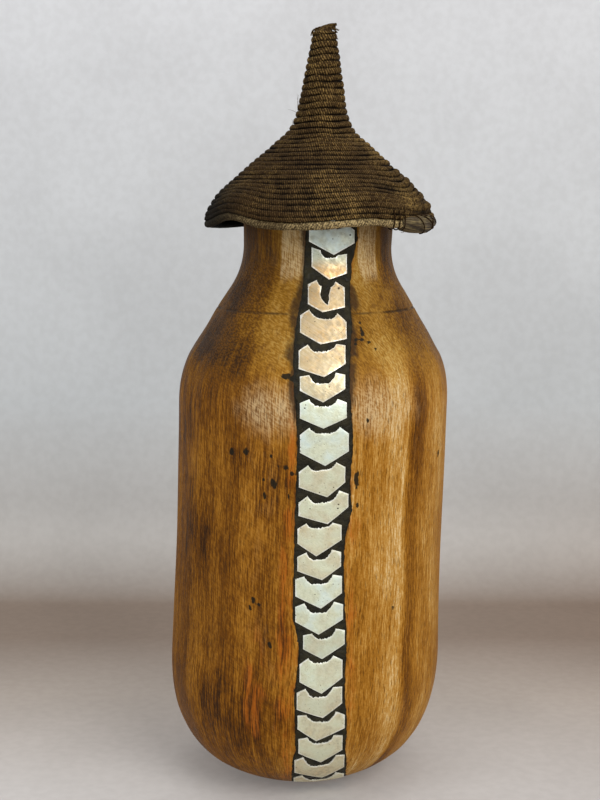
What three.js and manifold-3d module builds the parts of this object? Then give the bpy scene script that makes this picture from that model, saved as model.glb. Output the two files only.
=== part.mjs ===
// Lidded wooden pot: a tall milk jar carved from one log, with a row of aluminium plates set in black pitch
// down its front, and a pointed lid of coiled and stitched fibre that lifts straight off the neck.
// Millimetres, +Z up, the front towards -Y. The origin is the middle of the flat foot.
import * as THREE from "three";
import { mergeVertices } from "three/addons/utils/BufferGeometryUtils.js";
import Module from "manifold-3d";

const wasm = await Module();
wasm.setup();

// Gap that touching pieces keep
const CLEARANCE = 0.3;

// The log's lean to the right, millimetres for each millimetre of height
const LEAN = 0.031;

// Outside of the vessel, from the foot up
const FOOT_RADIUS = 27;
const BELLY_RADIUS = 73;
const BELLY_HEIGHT = 69;
const WAIST_RADIUS = 71.4;
const SHOULDER_RADIUS = 72;
const BODY_LENGTH = 135;
const SHOULDER_ROUND = 25;
const SHOULDER_SETBACK = 5;
const CONE_LENGTH = 33.5;
const NECK_ROUND = 23.5;
const NECK_RADIUS = 39;
const NECK_LENGTH = 35.5;
const RIM_RADIUS = 40.3;
const RIM_ROUND = 3;

// Wall, floor and scored line of the vessel
const WALL = 7;
const FLOOR = 16;
const MOUTH_FLARE = 1.5;
const SCORE_BELOW_NECK = 32;
const SCORE_WIDTH = 1.6;
const SCORE_DEPTH = 0.6;

// Flats that the adze left on the body
const FLATS = 14;
const FLAT_DEPTH = 0.5;

// Inlay channel: where it starts and ends, and how deep it is filled
const STRIP_START = 2.5;
const STRIP_BELOW_RIM = 8;
const PITCH_DEPTH = 2.8;
const PITCH_SUNK = 0.1;

// The channel's edges: a height, the left edge's x and the right edge's x
const STRIP_EDGES = [
  [2.5, -5, 23.8],
  [8, -5, 23.7],
  [19, -4.6, 23.5],
  [27, -4.4, 23.4],
  [33, -2.8, 22.6],
  [46, -3, 23.3],
  [53, -3.2, 23.2],
  [60, -3.5, 22.2],
  [66, -3.4, 22.2],
  [74, -2.2, 22.3],
  [90, -1, 23.1],
  [97, -2.5, 23],
  [103, -4, 22.4],
  [116, -4, 21.9],
  [130, -3.6, 21.5],
  [143, -3.3, 22],
  [158, -3, 25.4],
  [173, -2.4, 24.3],
  [190, -1.9, 25.8],
  [206, -2.4, 25],
  [219, -3.4, 24],
  [232, -3.9, 24.2],
  [247, -2.9, 25.6],
  [263, 0.3, 24.4],
  [278, 1.7, 25.6],
  [291, 2.3, 28.6],
  [313.5, 2.5, 28.5],
];

// Plates: how proud of the wood they stand and how thick they are
const PLATE_PROUD = 0.3;
const PLATE_THICKNESS = 1.1;
const PLATE_GAP = 1.3;
const EAR_INSET = 4.6;
const NOTCH_FLOOR_SHARE = 0.5;
// Height of the vessel on which the plates below were measured
const PLATE_ROW_HEIGHT = 321.5;
// Hand-cut plates from the base up. Each gives its tip's height and x, its left and right edges, then the
// heights above the tip of its lower corners, upper corners, ears and notch floor, and its rise to the right.
const PLATES = [
  [3.6, 9.5, -3.9, 22.6, 2.6, 8.6, 11.6, 5, 1],
  [11.6, 10.9, -3.4, 22.4, 7, 15.9, 17.7, 10.8, 2],
  [24.9, 10.1, -1.4, 21.2, 7, 15.6, 17.1, 12.6, 1],
  [38.7, 7.7, -1.8, 22.2, 7, 14.4, 16.5, 11.2, -0.7],
  [51.7, 11, -2.2, 20.8, 6.3, 15.1, 16.8, 11.7, 2.5],
  [64.9, 10.3, -0.8, 20.9, 7, 16.1, 19, 16.2, 1.5],
  [82.9, 10.6, 1, 22, 6.1, 13.2, 14.7, 10.6, 1.8],
  [95.5, 8.8, -2.9, 21.1, 6.9, 14.5, 16.3, 11.3, 0.6],
  [108.7, 9.9, -2.9, 20.5, 7, 15.7, 17.3, 12.7, 1],
  [123.2, 10.5, -1.9, 20, 5.8, 13, 14.9, 10.7, 2],
  [135.6, 7.6, -1.8, 20.2, 7.1, 14.6, 17.1, 14.4, 1.5],
  [151.4, 13.2, -1.3, 23.5, 6.6, 13.2, 15.9, 11.5, 4],
  [165.1, 12.9, -1.1, 21.9, 6.4, 14.1, 17.1, 14, 2.2],
  [181.1, 11.9, -0.6, 23.6, 6.9, 15.7, 19.3, 16.4, 0.4],
  [199.8, 11, -0.6, 22.5, 5.1, 12.6, 14.5, 11.2, 0],
  [212.7, 10.8, -0.6, 21.7, 6, 12.8, 14.1, 9.3, 0.7],
  [224.8, 11.4, -1.2, 22, 5, 13.5, 15.9, 12.1, 2.2],
  [239.9, 9.7, -0.5, 22.7, 4.1, 12.1, 15.7, 12.4, -3.2],
  [255, 10.8, 3.4, 22, 3.2, 12.6, 15.2, 12.3, -1.7],
  [270.7, 14.1, 5.3, 23.2, 4.6, 14.3, 15.2, 11.3, -3.4],
  [282.9, 16.6, 4, 27.1, 6.2, 12.7, 16, 13.2, -1],
  [299.2, 16, 4.6, 27, 5.6, 10.6, 13, 10.2, 0],
];
// The split that tore one shoulder plate, as distances right of and above its tip
const SPLIT_PLATE = 18;
const SPLIT = [
  [-1.2, 8.2],
  [1.2, 4.4],
  [2.6, 3.6],
  [3.3, 6.4],
];

// Outside of the lid, from the brim up
const EAVES_OVER_RIM = 4.7;
const BRIM_OVER_EAVES = 15;
const BRIM_DROP = 21.6;
const CONE_SLOPE = 0.868;
const LID_CONE_HEIGHT = 21.7;
const FLARE_HEIGHT = 15;
const SPIRE_FOOT_RADIUS = 12.6;
const SPIRE_TOP_RADIUS = 6;
const SPIRE_HEIGHT = 37.9;
const LID_WALL = 3.8;

// The coil that the lid is sewn from
const COIL_PITCH = 3.55;
const COIL_GROOVE = 1;
const EDGE_ROLL_RADIUS = 1.9;

// Bends in the brim: each is an azimuth from the front, a half width and a rise
const BRIM_BENDS = [
  [-50, 19, 4.4],
  [24, 22, 2],
  [140, 40, 2.2],
  [-140, 34, 1.6],
];

// The patch sewn over the worn right end of the brim, and its ties
const PATCH_FROM = 49;
const PATCH_TO = 101;
const PATCH_HALF_WIDTH = 4.4;
const PATCH_HALF_HEIGHT = 5;
const PATCH_UP = 0.3;
const PATCH_END_SIZE = 0.66;
const PATCH_ROUNDING = 0.6;
const TIE_RADIUS = 0.6;
const TIE_SLACK = 0.09;
const TIES = [37.5, 41, 44.5];
const TIE_REACH = 9;

// The bundle of fibre ends inside and across the top of the spire
const CORE_LENGTH = 22;
const CORE_BEVEL = 0.4;
const TUFT_GAP = 0.36;
const TUFT_RADIUS = 1.3;
const TUFT_LEFT = 6.2;
const TUFT_RIGHT = 6.8;
const TUFT_RISE = 0.9;

// Faces around each piece and points along its curves
const VESSEL_SEGMENTS = 42;
const HOLLOW_SEGMENTS = 24;
const LID_SEGMENTS = 28;
const ROW_POINTS = 3;
const LINING_ROWS = [1, 3, 1, 5];
const ROLL_SIDES = 6;
const PATCH_SIDES = 10;
const PATCH_STEPS = 11;
const TIE_SIDES = 6;
const TIE_STEPS = 12;
const CORE_SIDES = 12;
const TUFT_SIDES = 8;
const TUFT_STEPS = 8;

// Degrees in a turn
const TURN = 360;

// Gap between the lid's lining and the rim, a little more than the clearance because both are faceted
const SEAT_GAP = 0.39;

// Heights of the vessel
const SHOULDER_HEIGHT = BELLY_HEIGHT + BODY_LENGTH;
const CONE_FOOT = SHOULDER_HEIGHT + SHOULDER_ROUND;
const CONE_TOP = CONE_FOOT + CONE_LENGTH;
const NECK_FOOT = CONE_TOP + NECK_ROUND;
const RIM_HEIGHT = NECK_FOOT + NECK_LENGTH;
const SCORE_HEIGHT = NECK_FOOT - SCORE_BELOW_NECK;
const STRIP_END = RIM_HEIGHT - STRIP_BELOW_RIM;

// Shares of a curve's length that round it well
const CONE_TOP_SPREAD = 7.5;
const BASE_PULL = 0.42;
const BASE_LIFT = 5.5;
const BELLY_PULL = 0.78;

// Leaning and turning
const LEANING = new THREE.Matrix4().makeShear(0, 0, 0, 0, LEAN, 0);

// A curve through its control points, as points without the first
function bend(count, ...controls) {
  const points = controls.map(([x, y]) => new THREE.Vector2(x, y));
  const kind = points.length === 4 ? THREE.CubicBezierCurve : THREE.QuadraticBezierCurve;
  return new kind(...points).getPoints(count).slice(1);
}

// The vessel's outside from the foot's edge to where the rim's round begins
function vesselSide() {
  const foot = [FOOT_RADIUS, 0];
  const belly = [BELLY_RADIUS, BELLY_HEIGHT];
  const shoulder = [SHOULDER_RADIUS, SHOULDER_HEIGHT];
  const coneFoot = [SHOULDER_RADIUS - SHOULDER_SETBACK, CONE_FOOT];
  const coneTop = [NECK_RADIUS + CONE_TOP_SPREAD, CONE_TOP];
  const neckFoot = [NECK_RADIUS, NECK_FOOT];
  const basePull = [FOOT_RADIUS + (BELLY_RADIUS - FOOT_RADIUS) * BASE_PULL, BASE_LIFT];
  const bellyPull = [BELLY_RADIUS + 1, BELLY_HEIGHT * (1 - BELLY_PULL)];
  const waistLow = [WAIST_RADIUS, BELLY_HEIGHT + BODY_LENGTH / 3];
  const waistHigh = [WAIST_RADIUS, BELLY_HEIGHT + (BODY_LENGTH * 2) / 3];
  const corner = [SHOULDER_RADIUS, SHOULDER_HEIGHT + SHOULDER_ROUND * 0.6];
  const throat = [NECK_RADIUS, CONE_TOP + NECK_ROUND * 0.45];
  return [
    new THREE.Vector2(...foot),
    ...bend(7, foot, basePull, bellyPull, belly),
    ...bend(3, belly, waistLow, waistHigh, shoulder),
    ...bend(4, shoulder, corner, coneFoot),
    new THREE.Vector2(...coneTop),
    ...bend(4, coneTop, throat, neckFoot),
    new THREE.Vector2(RIM_RADIUS, RIM_HEIGHT - RIM_ROUND),
  ];
}

// A profile moved outwards by a distance, square to itself
function offset(points, distance) {
  return points.map((p, i) => {
    const before = points[Math.max(i - 1, 0)];
    const after = points[Math.min(i + 1, points.length - 1)];
    const along = after.clone().sub(before).normalize();
    return new THREE.Vector2(p.x + along.y * distance, p.y - along.x * distance);
  });
}

// The profile with the scored line cut into it
function scored(points) {
  const above = points.findIndex((p) => p.y > SCORE_HEIGHT);
  const [a, b] = [points[above - 1], points[above]];
  const at = (height) => a.clone().lerp(b, (height - a.y) / (b.y - a.y));
  const middle = at(SCORE_HEIGHT);
  middle.x -= SCORE_DEPTH;
  const line = [at(SCORE_HEIGHT - SCORE_WIDTH / 2), middle, at(SCORE_HEIGHT + SCORE_WIDTH / 2)];
  return [...points.slice(0, above), ...line, ...points.slice(above)];
}

// A closed mesh as a solid, turned the right way out
function solid(geometry) {
  const bare = new THREE.BufferGeometry();
  bare.setAttribute("position", geometry.getAttribute("position"));
  bare.setIndex(geometry.index);
  const merged = mergeVertices(bare, 1e-4);
  const positions = merged.getAttribute("position").array;
  const corners = Array.from(merged.index.array);
  const build = (triangles) =>
    new wasm.Manifold(
      new wasm.Mesh({ numProp: 3, vertProperties: positions, triVerts: new Uint32Array(triangles) }),
    );
  const made = build(corners);
  return made.volume() < 0 ? build(corners.reverse()) : made;
}

// A solid as a mesh that can be drawn
function geometryOf(made) {
  const mesh = made.getMesh();
  const geometry = new THREE.BufferGeometry();
  geometry.setAttribute("position", new THREE.BufferAttribute(new Float32Array(mesh.vertProperties), 3));
  geometry.setIndex(Array.from(mesh.triVerts));
  const faceted = geometry.toNonIndexed();
  faceted.computeVertexNormals();
  return faceted;
}

const smooth = (value, from, to) => THREE.MathUtils.smoothstep(value, from, to);

// A leaning solid of revolution, with the adze's flats between the base and the neck
function turned(profile, segments) {
  const bottom = new THREE.Vector2(0, profile[0].y);
  const top = new THREE.Vector2(0, profile[profile.length - 1].y);
  const geometry = new THREE.LatheGeometry([bottom, ...profile, top], segments);
  geometry.rotateX(Math.PI / 2);
  const position = geometry.getAttribute("position");
  for (let i = 0; i < position.count; i++) {
    const [x, y, z] = [position.getX(i), position.getY(i), position.getZ(i)];
    const radius = Math.hypot(x, y);
    const turn = (Math.atan2(x, -y) / (2 * Math.PI) + 1) * FLATS;
    const share = turn - Math.floor(turn + 1e-6);
    const fade = smooth(z, 0, BELLY_HEIGHT / 2) * (1 - smooth(z, SHOULDER_HEIGHT, CONE_TOP));
    const flat = FLAT_DEPTH * 4 * share * (1 - share) * fade;
    const scale = radius > flat ? (radius - flat) / radius : 1;
    position.setXY(i, x * scale, y * scale);
  }
  geometry.applyMatrix4(LEANING);
  return solid(geometry);
}

const SIDE = vesselSide();

// The vessel's outer form, larger or smaller by a distance
const body = (distance) => turned(offset(SIDE, distance), VESSEL_SEGMENTS);

// The hollow: the outside moved in by the wall, cut level at the floor, and open past the rim
function hollow() {
  const wallLine = offset(SIDE, -WALL).slice(0, -1);
  const inside = wallLine.filter((p) => p.y > FLOOR + 1);
  const first = wallLine[wallLine.length - inside.length - 1];
  const start = first.clone().lerp(inside[0], (FLOOR - first.y) / (inside[0].y - first.y));
  const mouth = RIM_RADIUS - WALL;
  const profile = [
    start,
    ...inside,
    new THREE.Vector2(mouth, RIM_HEIGHT - RIM_ROUND),
    new THREE.Vector2(mouth + MOUTH_FLARE, RIM_HEIGHT),
    new THREE.Vector2(mouth + MOUTH_FLARE, RIM_HEIGHT + WALL),
  ];
  return turned(profile, HOLLOW_SEGMENTS);
}

// An outline in x and z, extended from the middle of the vessel out past its front
function frontBlock(outline) {
  const shape = new THREE.Shape(outline.map(([x, z]) => new THREE.Vector2(x, z)));
  const depth = BELLY_RADIUS * 2;
  const geometry = new THREE.ExtrudeGeometry(shape, { depth, bevelEnabled: false, steps: 1 });
  geometry.rotateX(Math.PI / 2);
  return solid(geometry);
}

// The skin of the vessel's front between two depths, inside an outline
function skin(outline, outer, inner) {
  return frontBlock(outline).intersect(body(outer)).subtract(body(inner));
}

// How far the row of plates is spread to fill the strip
const PLATE_SPREAD = (STRIP_END - STRIP_START) / (PLATE_ROW_HEIGHT - STRIP_BELOW_RIM - STRIP_START);

// The strip's two wavering edges, wider by a gap
function stripOutline(gap) {
  const last = STRIP_EDGES.length - 1;
  const levels = STRIP_EDGES.map(([height], row) => {
    const grow = row === 0 ? -gap : row === last ? gap : 0;
    return STRIP_START + (height - STRIP_START) * PLATE_SPREAD + grow;
  });
  const lefts = STRIP_EDGES.map(([, left], row) => [left - gap, levels[row]]);
  const rights = STRIP_EDGES.map(([, , right], row) => [right + gap, levels[row]]);
  return [...lefts, ...rights.reverse()];
}

// Height of a point of a plate, from its x and its measured height above the tip
function plateLevel(index, x, above) {
  const [tip, , left, right, , , , , rise] = PLATES[index];
  const slope = (rise * (x - (left + right) / 2)) / (right - left);
  return STRIP_START + (tip + above + slope - STRIP_START) * PLATE_SPREAD;
}

// Height of a plate's lower edge at x, and past the last plate no limit
function lowerEdge(index, x) {
  if (index >= PLATES.length) return Infinity;
  const [, tipX, left, right, low] = PLATES[index];
  const away = x < tipX ? (tipX - x) / (tipX - left) : (x - tipX) / (right - tipX);
  const point = plateLevel(index, tipX, 0);
  const corner = plateLevel(index, x < tipX ? left : right, low);
  return point + (corner - point) * away;
}

// A plate's outline, wider by a gap all round, with its ears and notch kept below the next plate
function plateOutline(index, gap) {
  const [, tipX, left, right, low, high, ear, floor] = PLATES[index];
  const middle = (left + right) / 2;
  const floorHalf = (right - left - 2 * EAR_INSET) * (NOTCH_FLOOR_SHARE / 2);
  const above = index + 1 < PLATES.length ? PLATES[index + 1][1] : middle;
  const ceiling = lowerEdge(index + 1, above) - PLATE_GAP;
  const at = (x, height, dx, dz) => [x + dx * gap, plateLevel(index, x, height) + dz * gap];
  const under = (x, height, limit, dx, dz) => [
    x + dx * gap,
    Math.min(plateLevel(index, x, height), limit) + dz * gap,
  ];
  const earAt = (x, dx) => under(x, ear, lowerEdge(index + 1, x) - PLATE_GAP, dx, 1.2);
  const torn = index === SPLIT_PLATE && gap === 0;
  const split = torn ? SPLIT.map(([dx, dz]) => at(tipX + dx, dz, 0, 0)) : [];
  return [
    at(tipX, 0, 0, -1.2),
    at(right, low, 1, -0.5),
    at(right, high, 1, 0.5),
    earAt(right - EAR_INSET, 0.3),
    under(middle + floorHalf, floor, ceiling, -0.3, 1),
    ...split.reverse(),
    under(middle - floorHalf, floor, ceiling, 0.3, 1),
    earAt(left + EAR_INSET, -0.3),
    at(left, high, -1, 0.5),
    at(left, low, -1, -0.5),
  ];
}

// Vessel, with its channel
function vessel() {
  const round = bend(3, [RIM_RADIUS, RIM_HEIGHT - RIM_ROUND], [RIM_RADIUS, RIM_HEIGHT], [
    RIM_RADIUS - RIM_ROUND,
    RIM_HEIGHT,
  ]);
  const outside = turned([...scored(SIDE), ...round], VESSEL_SEGMENTS);
  const channel = frontBlock(stripOutline(CLEARANCE)).subtract(body(-PITCH_DEPTH - CLEARANCE));
  return outside.subtract(hollow()).subtract(channel);
}

// Black pitch that fills the channel and holds the plates
function pitch() {
  const filling = skin(stripOutline(0), -PITCH_SUNK, -PITCH_DEPTH);
  const seat = PLATE_PROUD - PLATE_THICKNESS - CLEARANCE;
  const pockets = PLATES.map((_, i) => frontBlock(plateOutline(i, CLEARANCE)));
  return filling.subtract(wasm.Manifold.union(pockets).subtract(body(seat)));
}

const plate = (index) => skin(plateOutline(index, 0), PLATE_PROUD, PLATE_PROUD - PLATE_THICKNESS);

// The lid's own frame has its origin on the axis, level with the lower edge of its last sewn row
const EAVES_RADIUS = RIM_RADIUS + EAVES_OVER_RIM;
const BRIM_RADIUS = EAVES_RADIUS + BRIM_OVER_EAVES;
const LID_CONE_TOP = BRIM_DROP + LID_CONE_HEIGHT;
const SPIRE_FOOT = LID_CONE_TOP + FLARE_HEIGHT;
const SPIRE_TOP = SPIRE_FOOT + SPIRE_HEIGHT;
const CONE_TOP_RADIUS = EAVES_RADIUS - LID_CONE_HEIGHT / CONE_SLOPE;
const SPIRE_TAPER = (SPIRE_FOOT_RADIUS - SPIRE_TOP_RADIUS) / SPIRE_HEIGHT;

// The lid's outer line from the spire's top to the brim
function lidLine() {
  const path = new THREE.Path();
  const flare = CONE_TOP_RADIUS - SPIRE_FOOT_RADIUS - SPIRE_TAPER * FLARE_HEIGHT;
  const back = flare / (1 - SPIRE_TAPER * CONE_SLOPE);
  path.moveTo(SPIRE_TOP_RADIUS, SPIRE_TOP);
  path.lineTo(SPIRE_FOOT_RADIUS, SPIRE_FOOT);
  path.quadraticCurveTo(
    CONE_TOP_RADIUS - back,
    LID_CONE_TOP + back * CONE_SLOPE,
    CONE_TOP_RADIUS,
    LID_CONE_TOP,
  );
  path.lineTo(EAVES_RADIUS, BRIM_DROP);
  path.quadraticCurveTo(BRIM_RADIUS, BRIM_DROP - BRIM_OVER_EAVES * CONE_SLOPE, BRIM_RADIUS, 0);
  return path;
}

const LID_LINE = lidLine();

// Shares of the way down the lid at which its lining has rows: few on the straights, more round the bends
function liningShares() {
  const ends = LID_LINE.getCurveLengths();
  const total = ends[ends.length - 1];
  const shares = [0];
  ends.forEach((end, i) => {
    const start = i > 0 ? ends[i - 1] : 0;
    for (let row = 1; row <= LINING_ROWS[i]; row++)
      shares.push((start + ((end - start) * row) / LINING_ROWS[i]) / total);
  });
  return shares;
}

// How far the brim is bent up at an azimuth in degrees from the front
function brimWave(azimuth) {
  return BRIM_BENDS.reduce((sum, [middle, half, rise]) => {
    const away = Math.abs(((azimuth - middle + 1.5 * TURN) % TURN) - TURN / 2);
    return sum + rise * Math.exp(-((away / half) ** 2) * 1.4);
  }, 0);
}

// A point of the leaning lid, from its radius and height at an azimuth
function placed(radius, height, azimuth) {
  const angle = THREE.MathUtils.degToRad(azimuth);
  const x = radius * Math.sin(angle) + LEAN * height;
  return new THREE.Vector3(x, -radius * Math.cos(angle), height);
}

// A point at a share of the way down the lid's line and a depth below it
function lidPoint(share, azimuth, depth, drop = 0) {
  const p = LID_LINE.getPointAt(share);
  const along = LID_LINE.getTangentAt(share);
  const bent = brimWave(azimuth) * smooth(p.x, EAVES_RADIUS, BRIM_RADIUS);
  return placed(p.x + along.y * depth, p.y - along.x * depth + bent - drop, azimuth);
}

// The lid's wall: one unbroken row of coil winds down the outside, and the inside is smooth
function coiledWall(grow) {
  const rows = Math.round(LID_LINE.getLength() / COIL_PITCH);
  const turn = ROW_POINTS * LID_SEGMENTS;
  const last = rows * turn;
  const positions = [];
  const corners = [];
  const known = new Map();
  const azimuthOf = (k) => (-TURN * (k % LID_SEGMENTS)) / LID_SEGMENTS;
  const vertex = (key, point) => {
    if (!known.has(key)) {
      known.set(key, positions.length / 3);
      positions.push(...point().toArray());
    }
    return known.get(key);
  };
  const outer = (j, k) => {
    const place = THREE.MathUtils.clamp(j * LID_SEGMENTS + k * ROW_POINTS - turn, 0, last);
    const ridge = j % ROW_POINTS > 0 && place > 0 && place < last;
    const drop = place === last ? grow : place === 0 ? -grow : 0;
    const depth = (ridge ? 0 : COIL_GROOVE) - grow;
    return vertex(`outer ${k % LID_SEGMENTS} ${place}`, () =>
      lidPoint(place / last, azimuthOf(k), depth, drop),
    );
  };
  const shares = liningShares();
  const lowest = shares.length - 1;
  const inner = (i, k) => {
    const drop = i === lowest ? grow : i === 0 ? -grow : 0;
    return vertex(`inner ${k % LID_SEGMENTS} ${i}`, () =>
      lidPoint(shares[i], azimuthOf(k), LID_WALL + grow, drop),
    );
  };
  const quad = (a, b, c, d) => {
    if (a !== b && b !== c && c !== a) corners.push(a, b, c);
    if (a !== c && c !== d && d !== a) corners.push(a, c, d);
  };
  const down = (rows + 1) * ROW_POINTS;
  for (let k = 0; k < LID_SEGMENTS; k++) {
    for (let j = 0; j < down; j++)
      quad(outer(j, k), outer(j, k + 1), outer(j + 1, k + 1), outer(j + 1, k));
    for (let i = 0; i < lowest; i++)
      quad(inner(i, k), inner(i + 1, k), inner(i + 1, k + 1), inner(i, k + 1));
    quad(outer(0, k), inner(0, k), inner(0, k + 1), outer(0, k + 1));
    quad(outer(down, k), outer(down, k + 1), inner(lowest, k + 1), inner(lowest, k));
  }
  const geometry = new THREE.BufferGeometry();
  geometry.setAttribute("position", new THREE.Float32BufferAttribute(positions, 3));
  geometry.setIndex(corners);
  return solid(geometry);
}

// Rings of points joined into a tube, closed on itself or with flat ends
function tube(rings, looped) {
  const sides = rings[0].length;
  const corners = [];
  const spans = looped ? rings.length : rings.length - 1;
  for (let i = 0; i < spans; i++)
    for (let s = 0; s < sides; s++) {
      const [a, b] = [i * sides + s, i * sides + ((s + 1) % sides)];
      const step = ((i + 1) % rings.length) * sides;
      const [c, d] = [step + ((s + 1) % sides), step + s];
      corners.push(a, b, c, a, c, d);
    }
  const end = (rings.length - 1) * sides;
  for (let s = 1; s < sides - 1 && !looped; s++)
    corners.push(0, s + 1, s, end, end + s, end + s + 1);
  const geometry = new THREE.BufferGeometry();
  const positions = rings.flat().flatMap((p) => p.toArray());
  geometry.setAttribute("position", new THREE.Float32BufferAttribute(positions, 3));
  geometry.setIndex(corners);
  return solid(geometry);
}

// Middle of the edge roll below the wall
const ROLL_MIDDLE = BRIM_RADIUS - LID_WALL / 2;
const ROLL_DROP = CLEARANCE + EDGE_ROLL_RADIUS;
// The roll's ring of a few sides is made taller, so that its flats reach the roll's full height
const ROLL_TALLER = 1 / Math.cos(Math.PI / ROLL_SIDES);

// The smoother roll of fibre that edges the brim
function edgeRoll(grow) {
  const rings = [];
  for (let k = 0; k < LID_SEGMENTS; k++) {
    const azimuth = (TURN * k) / LID_SEGMENTS;
    const ring = [];
    for (let s = 0; s < ROLL_SIDES; s++) {
      const angle = (2 * Math.PI * s) / ROLL_SIDES;
      const radius = ROLL_MIDDLE + (EDGE_ROLL_RADIUS + grow) * Math.cos(angle);
      const height = (EDGE_ROLL_RADIUS + grow) * ROLL_TALLER * Math.sin(angle);
      ring.push(placed(radius, brimWave(azimuth) - ROLL_DROP + height, azimuth));
    }
    rings.push(ring);
  }
  return tube(rings, true);
}

// The pad of fibre sewn round the brim's right end
function patch() {
  const rings = [];
  for (let i = 0; i <= PATCH_STEPS; i++) {
    const share = i / PATCH_STEPS;
    const azimuth = PATCH_FROM + (PATCH_TO - PATCH_FROM) * share;
    const swell = PATCH_END_SIZE + (1 - PATCH_END_SIZE) * Math.sin(Math.PI * share) ** PATCH_ROUNDING;
    const ring = [];
    for (let s = 0; s < PATCH_SIDES; s++) {
      const angle = (2 * Math.PI * s) / PATCH_SIDES;
      const radius = ROLL_MIDDLE + PATCH_HALF_WIDTH * swell * Math.cos(angle);
      const height = PATCH_HALF_HEIGHT * swell * Math.sin(angle) + PATCH_UP - ROLL_DROP;
      ring.push(placed(radius, brimWave(azimuth) + height, azimuth));
    }
    rings.push(ring);
  }
  return tube(rings, false).subtract(coiledWall(CLEARANCE)).subtract(edgeRoll(CLEARANCE));
}

// A cord sewn round the brim: up the outside, under the roll and up the inside
function tie(azimuth) {
  const away = CLEARANCE + TIE_RADIUS + BRIM_RADIUS * (1 - Math.cos(Math.PI / LID_SEGMENTS));
  const points = [];
  const line = LID_LINE.getLength();
  for (const reach of [TIE_REACH, TIE_REACH / 2, 0])
    points.push(lidPoint(1 - reach / line, azimuth, -away));
  const under = EDGE_ROLL_RADIUS * ROLL_TALLER + TIE_SLACK + away;
  for (const angle of [-45, -90, -135]) {
    const turn = THREE.MathUtils.degToRad(angle);
    const radius = ROLL_MIDDLE + under * Math.cos(turn);
    points.push(placed(radius, brimWave(azimuth) - ROLL_DROP + under * Math.sin(turn), azimuth));
  }
  for (const reach of [0, TIE_REACH / 2, TIE_REACH])
    points.push(lidPoint(1 - reach / line, azimuth, LID_WALL + away));
  const path = new THREE.CatmullRomCurve3(points);
  const section = new THREE.Shape();
  section.absarc(0, 0, TIE_RADIUS, 0, 2 * Math.PI);
  const outline = new THREE.Shape(section.getPoints(TIE_SIDES / 2).slice(0, -1));
  const geometry = new THREE.ExtrudeGeometry(outline, {
    steps: TIE_STEPS,
    curveSegments: TIE_SIDES,
    extrudePath: path,
  });
  return solid(geometry);
}

// The fibre bundle that the coil starts round, with its ends laid across the spire's top
function bundle() {
  const bore = SPIRE_TOP_RADIUS - LID_WALL - CLEARANCE;
  const wide = bore + CORE_LENGTH * SPIRE_TAPER;
  const bevel = wide * CORE_BEVEL;
  const centre = TUFT_GAP + TUFT_RADIUS;
  const profile = [
    new THREE.Vector2(0, -CORE_LENGTH),
    new THREE.Vector2(wide - bevel / 2, -CORE_LENGTH),
    new THREE.Vector2(bore + (CORE_LENGTH - bevel) * SPIRE_TAPER, bevel - CORE_LENGTH),
    new THREE.Vector2(bore, 0),
    new THREE.Vector2(bore, centre),
    new THREE.Vector2(0, centre),
  ];
  const core = new THREE.LatheGeometry(profile, CORE_SIDES);
  core.rotateX(Math.PI / 2);
  const path = new THREE.CatmullRomCurve3([
    new THREE.Vector3(-TUFT_LEFT, TUFT_RADIUS, centre),
    new THREE.Vector3(-TUFT_LEFT / 2, 0, centre + TUFT_RISE / 3),
    new THREE.Vector3(TUFT_RIGHT / 2, 0, centre + TUFT_RISE / 3),
    new THREE.Vector3(TUFT_RIGHT, -TUFT_RADIUS / 2, centre + TUFT_RISE),
  ]);
  const section = new THREE.Shape();
  section.absarc(0, 0, TUFT_RADIUS, 0, 2 * Math.PI);
  const outline = new THREE.Shape(section.getPoints(TUFT_SIDES / 2).slice(0, -1));
  const across = new THREE.ExtrudeGeometry(outline, { steps: TUFT_STEPS, extrudePath: path });
  const geometry = geometryOf(solid(core).add(solid(across)));
  geometry.translate(0, 0, SPIRE_TOP);
  geometry.applyMatrix4(LEANING);
  return solid(geometry);
}

// Height at which the lid's inner cone comes to rest round the rim, with the gap between them
function seatHeight() {
  const steep = Math.hypot(1, CONE_SLOPE);
  const roundRadius = RIM_RADIUS - RIM_ROUND;
  const roundHeight = RIM_HEIGHT - RIM_ROUND;
  const lineHeight = BRIM_DROP + (EAVES_RADIUS - roundRadius) * CONE_SLOPE;
  return roundHeight + (RIM_ROUND + SEAT_GAP + LID_WALL) * steep - lineHeight;
}

// Colours and finish
const WOOD = new THREE.MeshStandardMaterial({ color: 0x99632b, roughness: 0.5, metalness: 0 });
const PITCH = new THREE.MeshStandardMaterial({ color: 0x15110e, roughness: 0.6, metalness: 0 });
const METAL = new THREE.MeshStandardMaterial({ color: 0xc9c9c4, roughness: 0.42, metalness: 0.9 });
const FIBRE = new THREE.MeshStandardMaterial({ color: 0x3a2a1c, roughness: 0.85, metalness: 0 });

function piece(name, made, material) {
  const mesh = new THREE.Mesh(geometryOf(made), material);
  mesh.name = name;
  return mesh;
}

// The pot and its lid
const pot = new THREE.Group();
pot.add(piece("vessel", vessel(), WOOD));
pot.add(piece("pitch", pitch(), PITCH));
PLATES.forEach((_, i) => {
  const number = String(PLATES.length - i).padStart(2, "0");
  pot.add(piece(`plate_${number}`, plate(i), METAL));
});

const lid = new THREE.Group();
const seat = seatHeight();
lid.position.set(LEAN * seat, 0, seat);
lid.add(piece("lid_coil", coiledWall(0), FIBRE));
lid.add(piece("brim_roll", edgeRoll(0), FIBRE));
lid.add(piece("brim_patch", patch(), FIBRE));
TIES.forEach((azimuth, i) => lid.add(piece(`patch_tie_${i + 1}`, tie(azimuth), FIBRE)));
lid.add(piece("spire_bundle", bundle(), FIBRE));
pot.add(lid);

export default pot;
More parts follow.
